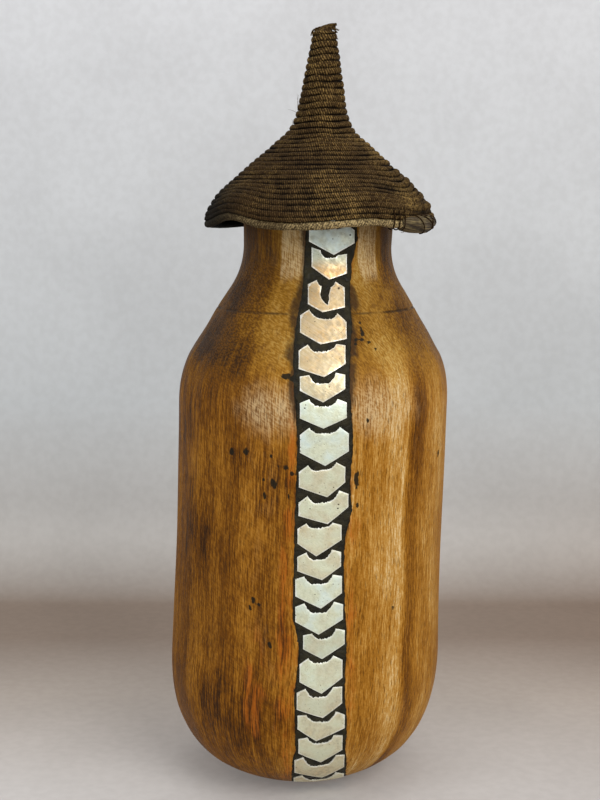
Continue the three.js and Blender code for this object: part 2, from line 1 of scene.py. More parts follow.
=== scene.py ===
"""Dresses the lidded wooden pot: carved wood, black pitch, hand-cut plates and a coiled lid.

Sizes are in metres and follow the CAD source, with the front towards -Y and the foot on the floor.
"""

import math
import random

import bpy
import numpy as np
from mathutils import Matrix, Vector


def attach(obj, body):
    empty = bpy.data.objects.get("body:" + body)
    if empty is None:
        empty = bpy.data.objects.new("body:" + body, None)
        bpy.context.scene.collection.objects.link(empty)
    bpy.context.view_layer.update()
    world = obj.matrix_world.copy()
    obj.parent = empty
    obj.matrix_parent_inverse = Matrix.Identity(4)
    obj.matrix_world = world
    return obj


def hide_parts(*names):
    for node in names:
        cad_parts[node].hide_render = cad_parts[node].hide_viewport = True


bl_info = {
    "name": "Lidded wooden pot",
    "version": (1, 0, 0),
    "blender": (4, 5, 0),
    "location": "View3D > Sidebar > Pot",
    "description": "Builds the looks of a carved milk pot with inlaid plates and a coiled lid",
    "category": "Add Mesh",
}

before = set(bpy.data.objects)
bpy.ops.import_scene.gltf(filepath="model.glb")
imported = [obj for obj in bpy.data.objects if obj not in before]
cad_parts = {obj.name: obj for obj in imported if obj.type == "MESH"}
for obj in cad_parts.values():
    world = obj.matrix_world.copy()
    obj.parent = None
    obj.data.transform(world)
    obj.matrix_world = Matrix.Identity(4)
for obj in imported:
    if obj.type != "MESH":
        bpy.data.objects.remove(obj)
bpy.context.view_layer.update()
MM = 0.001

# Edges between the flats that the adze left, in degrees from the front towards the right
ADZE_EDGES = (-180, -153, -127, -101, -78, -54, -32, -9, 26, 45, 66, 89, 113, 136, 158, 180)

# How light the wood is round the body and round the neck: degrees from the front, and a tone from 0 to 1.
# The tone is partly the wood's own colour and partly painted shade on the left and painted light on the
# right
BODY_TONES = (
    (-180, 0.4), (-130, 0.38), (-90, 0.34), (-70, 0.36), (-54, 0.36), (-30, 0.4), (-12, 0.44), (2, 0.46),
    (14, 0.58), (20, 0.63), (34, 0.66), (38, 0.7), (41, 0.7), (42.5, 0.6), (45, 0.28), (49, 0.3), (54, 0.58),
    (66, 0.58), (75, 0.6), (90, 0.54), (130, 0.42), (180, 0.4),
)
NECK_TONES = (
    (-180, 0.34), (-90, 0.2), (-60, 0.2), (-34, 0.3), (-27, 0.52), (-8, 0.56), (6, 0.5), (30, 0.56),
    (48, 0.56), (56, 0.42), (90, 0.36), (180, 0.34),
)

# Pale bands up the neck, partly rubbed wood and partly painted sheen, each from an azimuth to an azimuth in
# degrees from the front
NECK_BANDS = ((-29, -8), (30, 49))

# Black smears of pitch on the wood: x, z, half width and half height in millimetres
SMEARS = (
    (-34.7, 185.7, 1.3, 2.2), (-27.3, 186.5, 1.4, 2.4), (-14.9, 185.3, 0.9, 1.2), (-7.7, 180.1, 1.5, 1.9),
    (-4.6, 177.2, 1.2, 1.3), (-13.5, 172, 2, 2.6), (-18.7, 173.8, 0.8, 1.3), (-18.3, 165.1, 0.9, 2.2),
    (-6.1, 165.7, 0.7, 1.8), (27.6, 173.5, 1.3, 4.8), (28.1, 161, 0.9, 1.9), (32.8, 202.8, 1, 1.6),
    (-24.4, 111.7, 1.4, 2.2), (-21.2, 109.3, 1.1, 1.3), (-25.9, 107.4, 0.8, 1.7), (-15.8, 89.3, 1.1, 2),
    (46.8, 105, 0.8, 1.2), (71, 180, 0.7, 2.2), (-7, 225, 3.4, 1.5), (-4.2, 224, 3, 1.6),
    (29.6, 249.8, 0.9, 0.8), (30, 247.4, 0.8, 1.1), (31, 244.4, 1.3, 1.6), (30.2, 245.8, 0.9, 1.1),
    (27.6, 242.2, 1.4, 0.7), (30.4, 241.8, 2, 0.8), (27.4, 239.8, 1.2, 0.65), (33.4, 240.1, 1.8, 0.65),
    (37.3, 237, 0.9, 0.8), (-32, 191.5, 0.6, 1), (-11.5, 180.5, 0.5, 0.8),
)

# Darker, greasier places: x, z, half width and half height in millimetres
STAINS = (
    (-46.9, 57, 12, 30), (-9.1, 52, 9, 16), (-10, 93, 8, 18), (-28, 46, 20, 28), (-34, 264, 8, 14),
    (-28, 300, 10, 30), (-16, 168, 10, 24), (48, 250, 9, 14), (-30, 232, 14, 14), (42, 280, 7, 30),
    (31, 243, 7, 9), (-12, 176, 9, 12), (-54, 150, 8, 40), (-52, 240, 12, 20), (-17, 290, 4, 14),
    (26, 300, 4, 22), (-58, 200, 10, 30), (-30, 180, 6, 16),
)

# Painted reflections of the window on the shoulder's polish, drawn as pale places: x, z, half width and half
# height in millimetres
SHEEN_SPOTS = (
    (-14, 208, 22, 18), (38, 209, 26, 20),
)

# Where the wood beside the pitch was scorched orange: x, z, half width and half height in millimetres
SCORCHED = (
    (-4.5, 187, 3, 22), (-6, 150, 3, 14), (-7.5, 118, 4, 30), (-8, 88, 5, 34), (-8, 56, 5, 30),
    (-7, 30, 4, 20), (27, 150, 4, 20), (25, 110, 3, 44), (25, 70, 3, 24), (-24, 60, 7, 30), (-6, 20, 5, 14),
)

# The channel's edges in millimetres: a height, the left edge's x and the right edge's x
STRIP_EDGES = (
    (2.5, -5, 23.8), (8, -5, 23.7), (19, -4.6, 23.5), (27, -4.4, 23.4), (33, -2.8, 22.6), (46, -3, 23.3),
    (53, -3.2, 23.2), (60, -3.5, 22.2), (66, -3.4, 22.2), (74, -2.2, 22.3), (90, -1, 23.1), (97, -2.5, 23),
    (103, -4, 22.4), (116, -4, 21.9), (130, -3.6, 21.5), (143, -3.3, 22), (158, -3, 25.4), (173, -2.4, 24.3),
    (190, -1.9, 25.8), (206, -2.4, 25), (219, -3.4, 24), (232, -3.9, 24.2), (247, -2.9, 25.6),
    (263, 0.3, 24.4), (278, 1.7, 25.6), (291, 2.3, 28.6), (313.5, 2.5, 28.5),
)

# Bulges of pitch past the channel's edges: x, z and reach in millimetres
PITCH_BULGES = (
    (26, 160, 2.6), (-3.6, 154, 2.4), (-1.4, 91.8, 2), (-3.6, 41, 1.6), (23.4, 40.4, 1.4), (-5.5, 225, 3.4),
)

# Hand-cut plates from the base up, in millimetres: the tip's height and x, the left and right edges, then
# the heights above the tip of the lower corners, upper corners, ears and notch floor, and the rise to
# the right
PLATES = (
    (3.6, 9.5, -3.9, 22.6, 2.6, 8.6, 11.6, 5, 1),
    (11.6, 10.9, -3.4, 22.4, 7, 15.9, 17.7, 10.8, 2),
    (24.9, 10.1, -1.4, 21.2, 7, 15.6, 17.1, 12.6, 1),
    (38.7, 7.7, -1.8, 22.2, 7, 14.4, 16.5, 11.2, -0.7),
    (51.7, 11, -2.2, 20.8, 6.3, 15.1, 16.8, 11.7, 2.5),
    (64.9, 10.3, -0.8, 20.9, 7, 16.1, 19, 16.2, 1.5),
    (82.9, 10.6, 1, 22, 6.1, 13.2, 14.7, 10.6, 1.8),
    (95.5, 8.8, -2.9, 21.1, 6.9, 14.5, 16.3, 11.3, 0.6),
    (108.7, 9.9, -2.9, 20.5, 7, 15.7, 17.3, 12.7, 1),
    (123.2, 10.5, -1.9, 20, 5.8, 13, 14.9, 10.7, 2),
    (135.6, 7.6, -1.8, 20.2, 7.1, 14.6, 17.1, 14.4, 1.5),
    (151.4, 13.2, -1.3, 23.5, 6.6, 13.2, 15.9, 11.5, 4),
    (165.1, 12.9, -1.1, 21.9, 6.4, 14.1, 17.1, 14, 2.2),
    (181.1, 11.9, -0.6, 23.6, 6.9, 15.7, 19.3, 16.4, 0.4),
    (199.8, 11, -0.6, 22.5, 5.1, 12.6, 14.5, 11.2, 0),
    (212.7, 10.8, -0.6, 21.7, 6, 12.8, 14.1, 9.3, 0.7),
    (224.8, 11.4, -1.2, 22, 5, 13.5, 15.9, 12.1, 2.2),
    (239.9, 9.7, -0.5, 22.7, 4.1, 12.1, 15.7, 12.4, -3.2),
    (255, 10.8, 3.4, 22, 3.2, 12.6, 15.2, 12.3, -1.7),
    (270.7, 14.1, 5.3, 23.2, 4.6, 14.3, 15.2, 11.3, -3.4),
    (282.9, 16.6, 4, 27.1, 6.2, 12.7, 16, 13.2, -1),
    (299.2, 16, 4.6, 27, 5.6, 10.6, 13, 10.2, 0),
)

# Plates whose colour is warmer and lighter towards the lower edge, counted from 0 at the base
BLUSHED = (19,)

# Holes and pits in the plates: x, z and radius in millimetres
PITS = ((18.9, 266.5, 0.75), (24.8, 292.8, 0.6), (18.5, 161.5, 0.6), (18.2, 159.5, 0.6), (1.8, 209.9, 0.55))

# The torn plate, counted from 0 at the base, and its tear: x and height from its tip in millimetres
SPLIT_PLATE = 18
SPLIT = ((-1.2, 8.2), (-0.6, 6.4), (1.2, 4.4), (2.6, 3.6), (2.8, 5), (3.3, 6.4), (3.1, 8.4))

# Each plate's colour from the base up: its warmth from 0, bluish, to 1, peach, partly its own skin and
# partly painted reflection of warm light on the plates that face up, and its lightness, partly painted light
# and shade on each plate
PLATE_SKINS_AND_LIGHT = (
    (0.35, 1.24), (0.36, 1.1), (0.2, 1.14), (0.2, 1.1), (0.2, 0.98), (0.06, 1.1), (0.06, 0.97),
    (-0.04, 1.14), (-0.1, 1.22), (0.16, 1.1), (0.22, 1.08), (0.14, 1.08), (0.16, 1.04), (-0.14, 1.22),
    (-0.06, 1.26), (0.42, 0.96), (0.66, 0.86), (0.72, 0.8), (0.78, 0.86), (0.5, 0.85), (-0.22, 1),
    (-0.1, 0.98),
)

# Bends in the brim: an azimuth from the front and a half width in degrees, and a rise in millimetres
BRIM_BENDS = ((-50, 19, 4.6), (24, 22, 2), (140, 40, 2.2), (-122, 30, -1.6))


def length(name, description, default):
    """A size in metres that a user may change."""
    return bpy.props.FloatProperty(
        name=name, description=description, default=default, unit="LENGTH", precision=4
    )


def share(name, description, default):
    """A plain number that a user may change."""
    return bpy.props.FloatProperty(name=name, description=description, default=default, subtype="FACTOR")


def linear(red, green, blue):
    """A colour given as it is seen, 0 to 255, as the light that Blender works in."""
    steps = (red / 255, green / 255, blue / 255)
    return tuple(c / 12.92 if c <= 0.04045 else ((c + 0.055) / 1.055) ** 2.4 for c in steps)


def colour(name, description, *seen):
    """A colour that a user may change, given as it is seen."""
    return bpy.props.FloatVectorProperty(
        name=name, description=description, subtype="COLOR", size=3, min=0, max=1, default=linear(*seen)
    )


class VesselSizes(bpy.types.PropertyGroup):
    """Sizes of the carved vessel, its channel and its plates."""

    lean: share("Lean", "Sideways lean for each unit of height", 0.031)
    foot_radius: length("Foot radius", "Radius of the flat foot", 0.027)
    belly_radius: length("Belly radius", "Radius at the belly", 0.073)
    belly_height: length("Belly height", "Height of the belly above the floor", 0.069)
    waist_radius: length("Waist radius", "Radius between belly and shoulder", 0.0714)
    shoulder_radius: length("Shoulder radius", "Radius at the shoulder", 0.072)
    body_length: length("Body length", "Height of the body between belly and shoulder", 0.135)
    shoulder_round: length("Shoulder round", "Height of the shoulder's bend", 0.025)
    shoulder_setback: length("Shoulder setback", "How far the shoulder's bend comes in", 0.005)
    cone_length: length("Cone length", "Height of the cone under the neck", 0.0335)
    cone_spread: length("Cone spread", "How far the cone's top stands out from the neck", 0.0075)
    neck_round: length("Neck round", "Height of the bend at the neck's foot", 0.0235)
    neck_radius: length("Neck radius", "Radius of the neck", 0.039)
    neck_length: length("Neck length", "Height of the neck", 0.0355)
    rim_radius: length("Rim radius", "Radius of the rim", 0.0403)
    rim_round: length("Rim round", "Rounding of the rim", 0.003)
    wall: length("Wall", "Thickness of the wall", 0.007)
    floor: length("Floor", "Thickness of the floor", 0.016)
    flat_depth: length("Flat depth", "Depth of the adze's flats", 0.0005)
    score_height: length("Scored line height", "Height of the line scored round the shoulder", 0.254)
    score_depth: length("Scored line depth", "Depth of the line scored round the shoulder", 0.0006)
    strip_start: length("Strip start", "Height of the strip's lower end", 0.0025)
    strip_end: length("Strip end", "Height of the strip's upper end", 0.3135)
    plate_proud: length("Plate proud", "How far the plates stand out of the wood", 0.0003)
    plate_thickness: length("Plate thickness", "Thickness of the plates", 0.0011)
    plate_gap: length("Plate gap", "Gap kept under the next plate", 0.0013)
    ear_inset: length("Ear inset", "How far a plate's ears are from its sides", 0.0046)

    @property
    def shoulder_height(self):
        """Height of the shoulder."""
        return self.belly_height + self.body_length

    @property
    def cone_foot(self):
        """Height of the cone's foot."""
        return self.shoulder_height + self.shoulder_round

    @property
    def cone_top(self):
        """Height of the cone's top."""
        return self.cone_foot + self.cone_length

    @property
    def neck_foot(self):
        """Height of the neck's foot."""
        return self.cone_top + self.neck_round

    @property
    def rim_height(self):
        """Height of the rim."""
        return self.neck_foot + self.neck_length


class LidSizes(bpy.types.PropertyGroup):
    """Sizes of the coiled lid, from its seat on the rim."""

    seat: length("Seat", "Height of the lid's lowest row above the floor", 0.2998)
    eaves_radius: length("Eaves radius", "Radius where the brim begins", 0.045)
    brim_reach: length("Brim reach", "How far the brim stands out past the eaves", 0.015)
    brim_drop: length("Brim drop", "Height of the eaves above the brim's edge", 0.0216)
    slope: share("Slope", "Rise of the cone for each unit inwards", 0.868)
    cone_height: length("Cone height", "Height of the lid's cone", 0.0217)
    flare_height: length("Flare height", "Height of the bend under the spire", 0.015)
    spire_foot: length("Spire foot radius", "Radius of the spire's foot", 0.0126)
    spire_top: length("Spire top radius", "Radius of the spire's top", 0.006)
    spire_height: length("Spire height", "Height of the spire", 0.0379)
    wall: length("Wall", "Thickness of the lid's wall", 0.0038)
    coil_pitch: length("Coil pitch", "Distance from one row of the coil to the next", 0.00355)
    coil_radius: length("Coil radius", "Radius of the coil with its thread", 0.002)
    stitch: length("Stitch", "Distance from one turn of thread to the next", 0.00112)
    roll_radius: length("Edge roll radius", "Radius of the roll that edges the brim", 0.0019)
    clearance: length("Clearance", "Gap between the roll and the wall", 0.0003)
    tie_radius: length("Tie radius", "Radius of the cords beside the pad", 0.0006)
    pad_half_width: length("Pad half width", "Half the thickness of the pad, inwards", 0.0044)
    pad_half_height: length("Pad half height", "Half the height of the pad", 0.005)


class Finishes(bpy.types.PropertyGroup):
    """Colours of the pot, as they are seen."""

    wood_dark: colour("Dark wood", "Deepest streaks of the wood", 54, 30, 6)
    wood_brown: colour("Brown wood", "Shaded, oiled wood", 110, 65, 4)
    wood_golden: colour("Golden wood", "Middle tone of the wood", 158, 106, 30)
    wood_light: colour("Light wood", "Light streaks of the wood", 188, 142, 70)
    # Also the colour of the painted glints in the shoulder's sheen
    wood_pale: colour("Pale wood", "Worn, dry wood", 222, 194, 142)
    # Pale colour of the rubbed neck bands and of the painted sheen on the shoulder
    wood_worn_and_sheen: colour("Dry wood", "Worn wood without oil", 205, 182, 140)
    wood_scorched: colour("Scorched wood", "Orange wood beside the pitch", 178, 92, 22)
    pitch: colour("Pitch", "Black resin", 25, 23, 14)
    pitch_dusty: colour("Dusty pitch", "Resin where dust has settled", 48, 44, 27)
    plate_cool: colour("Cool plate", "Aluminium with a greyish skin", 208, 214, 188)
    # The warm colour stands partly for the plates' own skin and partly for painted reflection of warm light
    # on the plates that face up
    plate_warm: colour("Warm plate", "Aluminium with a peach skin", 214, 171, 106)
    plate_blue: colour("Bluish plate", "Cleaner aluminium", 196, 214, 214)
    plate_edge: colour("Plate edge", "Freshly cut aluminium", 246, 247, 240)
    # Painted shade in the grooves, gaps and under the lid, besides a few dark strands
    fibre_dark: colour("Dark fibre", "Fibre in the grooves", 13, 8, 4)
    fibre_brown: colour("Brown fibre", "Smoked fibre", 42, 27, 11)
    # Crest colour, partly rubbed fibre and partly a painted highlight
    fibre_olive: colour("Olive fibre", "Fibre on the crests", 116, 93, 56)
    fibre_ochre: colour("Ochre fibre", "Rubbed, golden fibre", 162, 132, 74)
    pad_tan: colour("Pad fibre", "Fibre of the pad", 146, 130, 88)
    wall_high: colour("High wall", "Wall at the top of the picture", 214, 216, 219)
    wall_low: colour("Low wall", "Wall above the floor", 198, 202, 204)
    wall_foot: colour("Wall foot", "Wall where it meets the floor", 192, 189, 185)
    floor_far: colour("Far floor", "Floor at the foot of the wall", 142, 127, 115)
    floor_middle: colour("Middle floor", "Floor beside the pot", 178, 168, 159)
    floor_near: colour("Near floor", "Floor in front", 199, 195, 192)


# Lines and points


def bend(count, *controls):
    """Points along a Bezier curve through two, three or four controls."""
    controls = np.array(controls, float)
    t = np.linspace(0, 1, count)[:, None]
    top = len(controls) - 1
    return sum(math.comb(top, k) * t**k * (1 - t) ** (top - k) * c for k, c in enumerate(controls))


def run_lengths(points):
    """Distance along a line up to each of its points."""
    return np.concatenate([[0], np.cumsum(np.linalg.norm(np.diff(points, axis=0), axis=1))])


def directions(points):
    """The way on at each point of a line, one unit long."""
    ways = np.gradient(points, axis=0)
    return ways / np.linalg.norm(ways, axis=1)[:, None]


def spaced(points, step):
    """The same line with its points about a step apart."""
    along = run_lengths(points)
    at = np.linspace(0, along[-1], max(2, round(along[-1] / step) + 1))
    return np.column_stack([np.interp(at, along, column) for column in points.T])


def smooth(value, start, end):
    """0 before start, 1 after end, and a soft step between."""
    t = np.clip((value - start) / (end - start), 0, 1)
    return t * t * (3 - 2 * t)


def waves(points, size, seed):
    """Soft random hills from about -1 to 1, each about size across."""
    maker = np.random.default_rng(seed)
    total = np.zeros(len(points))
    for _ in range(9):
        way = maker.normal(size=points.shape[1])
        way *= 2 * math.pi * maker.uniform(0.6, 1.5) / size / np.linalg.norm(way)
        total += np.sin(points @ way + maker.uniform(0, 2 * math.pi))
    return total / 3


def spots(x, z, places):
    """How near each point is to one of the places: 1 in its middle, 0 at its edge, and less outside."""
    nearest = np.full(len(x), -1.0)
    for middle, height, half, tall in places:
        away = np.hypot((x / MM - middle) / half, (z / MM - height) / tall)
        nearest = np.maximum(nearest, 1 - away)
    return nearest


# The vessel's skin


def vessel_side(s):
    """Radius and height up the vessel's outside, from the foot's edge to the rim's round."""
    foot, belly = (s.foot_radius, 0), (s.belly_radius, s.belly_height)
    shoulder = (s.shoulder_radius, s.shoulder_height)
    cone_foot = (s.shoulder_radius - s.shoulder_setback, s.cone_foot)
    cone_top = (s.neck_radius + s.cone_spread, s.cone_top)
    neck_foot = (s.neck_radius, s.neck_foot)
    spread = s.belly_radius - s.foot_radius
    base_pull = (s.foot_radius + spread * 0.42, 0.0075)
    belly_pull = (s.belly_radius + MM, s.belly_height * 0.22)
    waist_low = (s.waist_radius, s.belly_height + s.body_length / 3)
    waist_high = (s.waist_radius, s.belly_height + s.body_length * 2 / 3)
    corner = (s.shoulder_radius, s.shoulder_height + s.shoulder_round * 0.6)
    throat = (s.neck_radius, s.cone_top + s.neck_round * 0.45)
    return np.vstack([
        bend(60, foot, base_pull, belly_pull, belly),
        bend(60, belly, waist_low, waist_high, shoulder)[1:],
        bend(30, shoulder, corner, cone_foot)[1:],
        bend(30, cone_foot, cone_top)[1:],
        bend(30, cone_top, throat, neck_foot)[1:],
        bend(20, neck_foot, (s.rim_radius, s.rim_height - s.rim_round))[1:],
    ])


def offset(points, distance):
    """A line moved square to itself, outwards for the vessel's side."""
    along = directions(points)
    return points + distance * np.column_stack([along[:, 1], -along[:, 0]])


def flats(azimuth, height, s):
    """How far the adze's flats cut in at an azimuth and height."""
    edges = np.radians(ADZE_EDGES)
    turned = azimuth + np.radians(1.4) * np.sin(height / 0.05)
    which = np.clip(np.searchsorted(edges, turned) - 1, 0, len(edges) - 2)
    across = np.clip((turned - edges[which]) / (edges[which + 1] - edges[which]), 0, 1)
    fade = smooth(height, 0, s.belly_height / 2) * (1 - smooth(height, s.shoulder_height, s.cone_top))
    return s.flat_depth * 4 * across * (1 - across) * fade


def hand_marks(azimuth, height, s, fine=1.0):
    """How far the carver's tools cut in, over broad and, by a share, over fine hollows."""
    side = spaced(vessel_side(s), 0.0013)
    full = np.interp(height, side[:, 1], side[:, 0])
    skin = np.column_stack([np.cos(azimuth) * full, np.sin(azimuth) * full, height])
    broad = 0.00025 * waves(skin * (1, 1, 0.5), 0.045, 8)
    small = 0.0001 * waves(skin * (1, 1, 0.12), 0.011, 3) * fine
    return (broad + small) * smooth(height, 0.003, 0.03)


def front_y(x, height, proud, s, fine=1.0):
    """Depth of the vessel's front skin at x and height, or of a skin that stands proud of it."""
    side = spaced(vessel_side(s), 0.0005)
    radius = np.interp(height, side[:, 1], side[:, 0])
    slope = np.gradient(side[:, 0]) / np.gradient(side[:, 1] + 1e-9)
    steep = np.interp(height, side[:, 1], np.hypot(1, slope))
    across = x - s.lean * height
    azimuth = np.arcsin(np.clip(across / radius, -1, 1))
    cut = flats(azimuth, height, s) + hand_marks(azimuth, height, s, fine)
    skin = radius - cut + proud * np.minimum(steep, 3)
    return -np.sqrt(np.maximum(skin**2 - across**2, 0))


def strip_sides(height):
    """X of the strip's left and right edges at a height."""
    edges = np.array(STRIP_EDGES) * MM
    return np.interp(height, edges[:, 0], edges[:, 1]), np.interp(height, edges[:, 0], edges[:, 2])


def past_strip(x, height, s):
    """Distance past the strip's edge, less than 0 inside."""
    left, right = strip_sides(height)
    aside = np.maximum(left - x, x - right)
    return np.maximum(aside, np.maximum(s.strip_start - height, height - s.strip_end))


# Modelling as by hand


def only(piece):
    """Selects one object and makes it the active one."""
    bpy.ops.object.select_all(action="DESELECT")
    piece.select_set(True)
    bpy.context.view_layer.objects.active = piece
    return piece


def added(name, data):
    """A new object in the scene."""
    piece = bpy.data.objects.new(name, data)
    bpy.context.scene.collection.objects.link(piece)
    return piece


def drawn(name, points, edges=(), faces=()):
    """A new mesh object from points, in the row frame."""
    mesh = bpy.data.meshes.new(name)
    mesh.from_pydata([tuple(p) for p in points], edges, faces)
    return only(added(name, mesh))


def points_of(piece):
    """A mesh's points as an array."""
    flat = np.zeros(len(piece.data.vertices) * 3)
    piece.data.vertices.foreach_get("co", flat)
    return flat.reshape(-1, 3)


def move_points(piece, points):
    """Puts a mesh's points in new places."""
    piece.data.vertices.foreach_set("co", np.ascontiguousarray(points, dtype=np.float32).ravel())
    piece.data.update()


def keep_values(piece, name, values):
    """Keeps a number for each point, or one for all, which materials read by name."""
    layer = piece.data.attributes.new(name, "FLOAT", "POINT")
    each = np.broadcast_to(values, len(piece.data.vertices))
    layer.data.foreach_set("value", np.ascontiguousarray(each, dtype=np.float32))


def keep_vectors(piece, name, vectors):
    """Keeps a vector for each point, which materials read by name."""
    layer = piece.data.attributes.new(name, "FLOAT_VECTOR", "POINT")
    layer.data.foreach_set("vector", np.ascontiguousarray(vectors, dtype=np.float32).ravel())


def edit_all(piece):
    """Opens a mesh for editing with all of it selected."""
    only(piece)
    bpy.ops.object.mode_set(mode="EDIT")
    bpy.ops.mesh.select_all(action="SELECT")


def sliced(cuts, axis):
    """Cuts the mesh that is open for editing across an axis, at each of these places along it."""
    for cut in cuts:
        bpy.ops.mesh.select_all(action="SELECT")
        bpy.ops.mesh.bisect(plane_co=[cut * part for part in axis], plane_no=axis)


def close_edit():
    """Leaves edit mode."""
    bpy.ops.object.mode_set(mode="OBJECT")


def apply_modifier(piece, name, kind, **settings):
    """Adds a modifier with these settings and applies it."""
    modifier = piece.modifiers.new(name, kind)
    for setting, value in settings.items():
        setattr(modifier, setting, value)
    only(piece)
    bpy.ops.object.modifier_apply(modifier=modifier.name)


def roughened(piece, name, size, strength):
    """Pushes a mesh about with soft clouds of a size."""
    clouds = bpy.data.textures.new(name, "CLOUDS")
    clouds.noise_scale = size
    settings = {"texture": clouds, "texture_coords": "LOCAL", "strength": strength, "mid_level": 0.5}
    apply_modifier(piece, name, "DISPLACE", **settings)


def path_curve(name, points, radii=None, looped=False):
    """A curve object through points, which other meshes follow."""
    data = bpy.data.curves.new(name, "CURVE")
    data.dimensions = "3D"
    data.twist_mode = "Z_UP"
    data.use_deform_bounds = False
    data.use_radius = True
    spline = data.splines.new("POLY")
    spline.points.add(len(points) - 1)
    spline.points.foreach_set("co", np.column_stack([points, np.ones(len(points))]).ravel())
    if radii is not None:
        spline.points.foreach_set("radius", radii)
    spline.use_cyclic_u = looped
    return added(name, data)


def strand(name, points, radius, sides=2, taper=None, parts=60):
    """A round cord through points, as a mesh."""
    points = np.array(points, float)
    fine = spaced(points, max(run_lengths(points)[-1] / parts, 1e-5))
    curve = path_curve(name, fine, taper)
    curve.data.bevel_depth = radius
    curve.data.bevel_resolution = sides
    curve.data.use_fill_caps = True
    only(curve)
    bpy.ops.object.convert(target="MESH")
    return bpy.context.object


def joined(name, pieces):
    """Several meshes as one object."""
    bpy.ops.object.select_all(action="DESELECT")
    for piece in pieces:
        piece.select_set(True)
    bpy.context.view_layer.objects.active = pieces[0]
    bpy.ops.object.join()
    pieces[0].name = name
    return pieces[0]


def shaded(piece, angle=None):
    """Smooth shading, all over or up to an angle in degrees."""
    only(piece)
    if angle is None:
        bpy.ops.object.shade_smooth()
    else:
        bpy.ops.object.shade_smooth_by_angle(angle=math.radians(angle))


def finished(piece, body, slot, nodes, *materials):
    """Gives a piece its finish and puts it in its nodes' place on its body."""
    for material in materials:
        piece.data.materials.append(material)
    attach(piece, body)
    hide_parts(*nodes)


# Shader building


class Value:
    """What a shader node gives out. Sums of such values are written with plain signs."""

    def __init__(self, socket):
        """Keeps the node's socket and the tree that it is in."""
        self.socket = socket
        self.tree = socket.id_data

    def summed(self, operation, first, second):
        """The result of one sum of two values or numbers."""
        return given(self.tree, "Math", {0: first, 1: second}, operation=operation)

    def __add__(self, other):
        """This value and another added."""
        return self.summed("ADD", self, other)

    def __sub__(self, other):
        """This value less another."""
        return self.summed("SUBTRACT", self, other)

    def __rsub__(self, other):
        """A number less this value."""
        return self.summed("SUBTRACT", other, self)

    def __mul__(self, other):
        """This value times another."""
        return self.summed("MULTIPLY", self, other)

    def __pow__(self, other):
        """This value to a power."""
        return self.summed("POWER", self, other)


def highest(first, second):
    """The larger of two values."""
    return first.summed("MAXIMUM", first, second)


def fed(made, inputs):
    """A shader node with its inputs set or linked."""
    for key, value in inputs.items():
        value = value.socket if isinstance(value, Value) else value
        if isinstance(value, bpy.types.NodeSocket):
            made.id_data.links.new(value, made.inputs[key])
        else:
            made.inputs[key].default_value = value
    return made


def node(tree, kind, inputs=None, **settings):
    """A new shader node, with its settings and inputs."""
    made = tree.nodes.new("ShaderNode" + kind)
    for setting, value in settings.items():
        setattr(made, setting, value)
    return fed(made, inputs or {})


def given(tree, kind, inputs=None, output=0, **settings):
    """What a new shader node gives out."""
    return Value(node(tree, kind, inputs, **settings).outputs[output])


def wide(value):
    """A colour with its alpha, or a value as it is."""
    return value if isinstance(value, Value) else (*value, 1)


def blended(share_of, first, second, blend="MIX"):
    """One colour laid over another by a share."""
    tree = next(part.tree for part in (share_of, first, second) if isinstance(part, Value))
    inputs = {0: share_of, 6: wide(first), 7: wide(second)}
    return given(tree, "Mix", inputs, 2, data_type="RGBA", blend_type=blend)


def ranged(value, low, high, start=0.0, end=1.0, kind="SMOOTHSTEP"):
    """A value between low and high as one between start and end."""
    inputs = {"Value": value, "From Min": low, "From Max": high, "To Min": start, "To Max": end}
    return given(value.tree, "MapRange", inputs, interpolation_type=kind)


def stored(tree, name, vector=False):
    """A number or vector that the mesh keeps under a name."""
    return given(tree, "Attribute", output="Vector" if vector else "Fac", attribute_name=name)


def new_group(name, inputs, output):
    """An empty node group, its inputs by name, its output node and its vector drawn out along Z."""
    group = bpy.data.node_groups.new(name, "ShaderNodeTree")
    group.interface.new_socket("Vector", in_out="INPUT", socket_type="NodeSocketVector")
    for label, default in inputs.items():
        socket = group.interface.new_socket(label, in_out="INPUT", socket_type="NodeSocketFloat")
        socket.default_value = default
    group.interface.new_socket(output, in_out="OUTPUT", socket_type="NodeSocketFloat")
    entry, leave = group.nodes.new("NodeGroupInput"), group.nodes.new("NodeGroupOutput")
    entries = {socket.name: Value(socket) for socket in entry.outputs if socket.name}
    stretch = given(group, "CombineXYZ", {0: 1, 1: 1, 2: entries["Stretch"]})
    drawn_out = given(group, "VectorMath", {0: entries["Vector"], 1: stretch}, operation="MULTIPLY")
    return group, entries, leave, drawn_out


def cloud_group():
    """Cloudy variation from 0 to 1, drawn out along Z where Stretch is small."""
    if "clouds" in bpy.data.node_groups:
        return bpy.data.node_groups["clouds"]
    defaults = {"Scale": 100, "Stretch": 1, "Detail": 3, "Low": 0.35, "High": 0.65}
    group, entries, leave, drawn_out = new_group("clouds", defaults, "Value")
    inputs = {"Vector": drawn_out, "Scale": entries["Scale"], "Detail": entries["Detail"]}
    fed(leave, {"Value": ranged(given(group, "TexNoise", inputs), entries["Low"], entries["High"])})
    return group


def speck_group():
    """Small separate specks, 1 in each and 0 between them."""
    if "specks" in bpy.data.node_groups:
        return bpy.data.node_groups["specks"]
    defaults = {"Scale": 400, "Stretch": 1, "Size": 0.2, "Rarity": 0.6}
    group, entries, leave, drawn_out = new_group("specks", defaults, "Mask")
    cells = node(group, "TexVoronoi", {"Vector": drawn_out, "Scale": entries["Scale"]})
    chance = given(group, "SeparateColor", {0: cells.outputs["Color"]})
    chosen = ranged(chance, entries["Rarity"], entries["Rarity"] + 0.1)
    near = ranged(Value(cells.outputs["Distance"]), entries["Size"], entries["Size"] * 0.4)
    fed(leave, {"Mask": chosen * near})
    return group


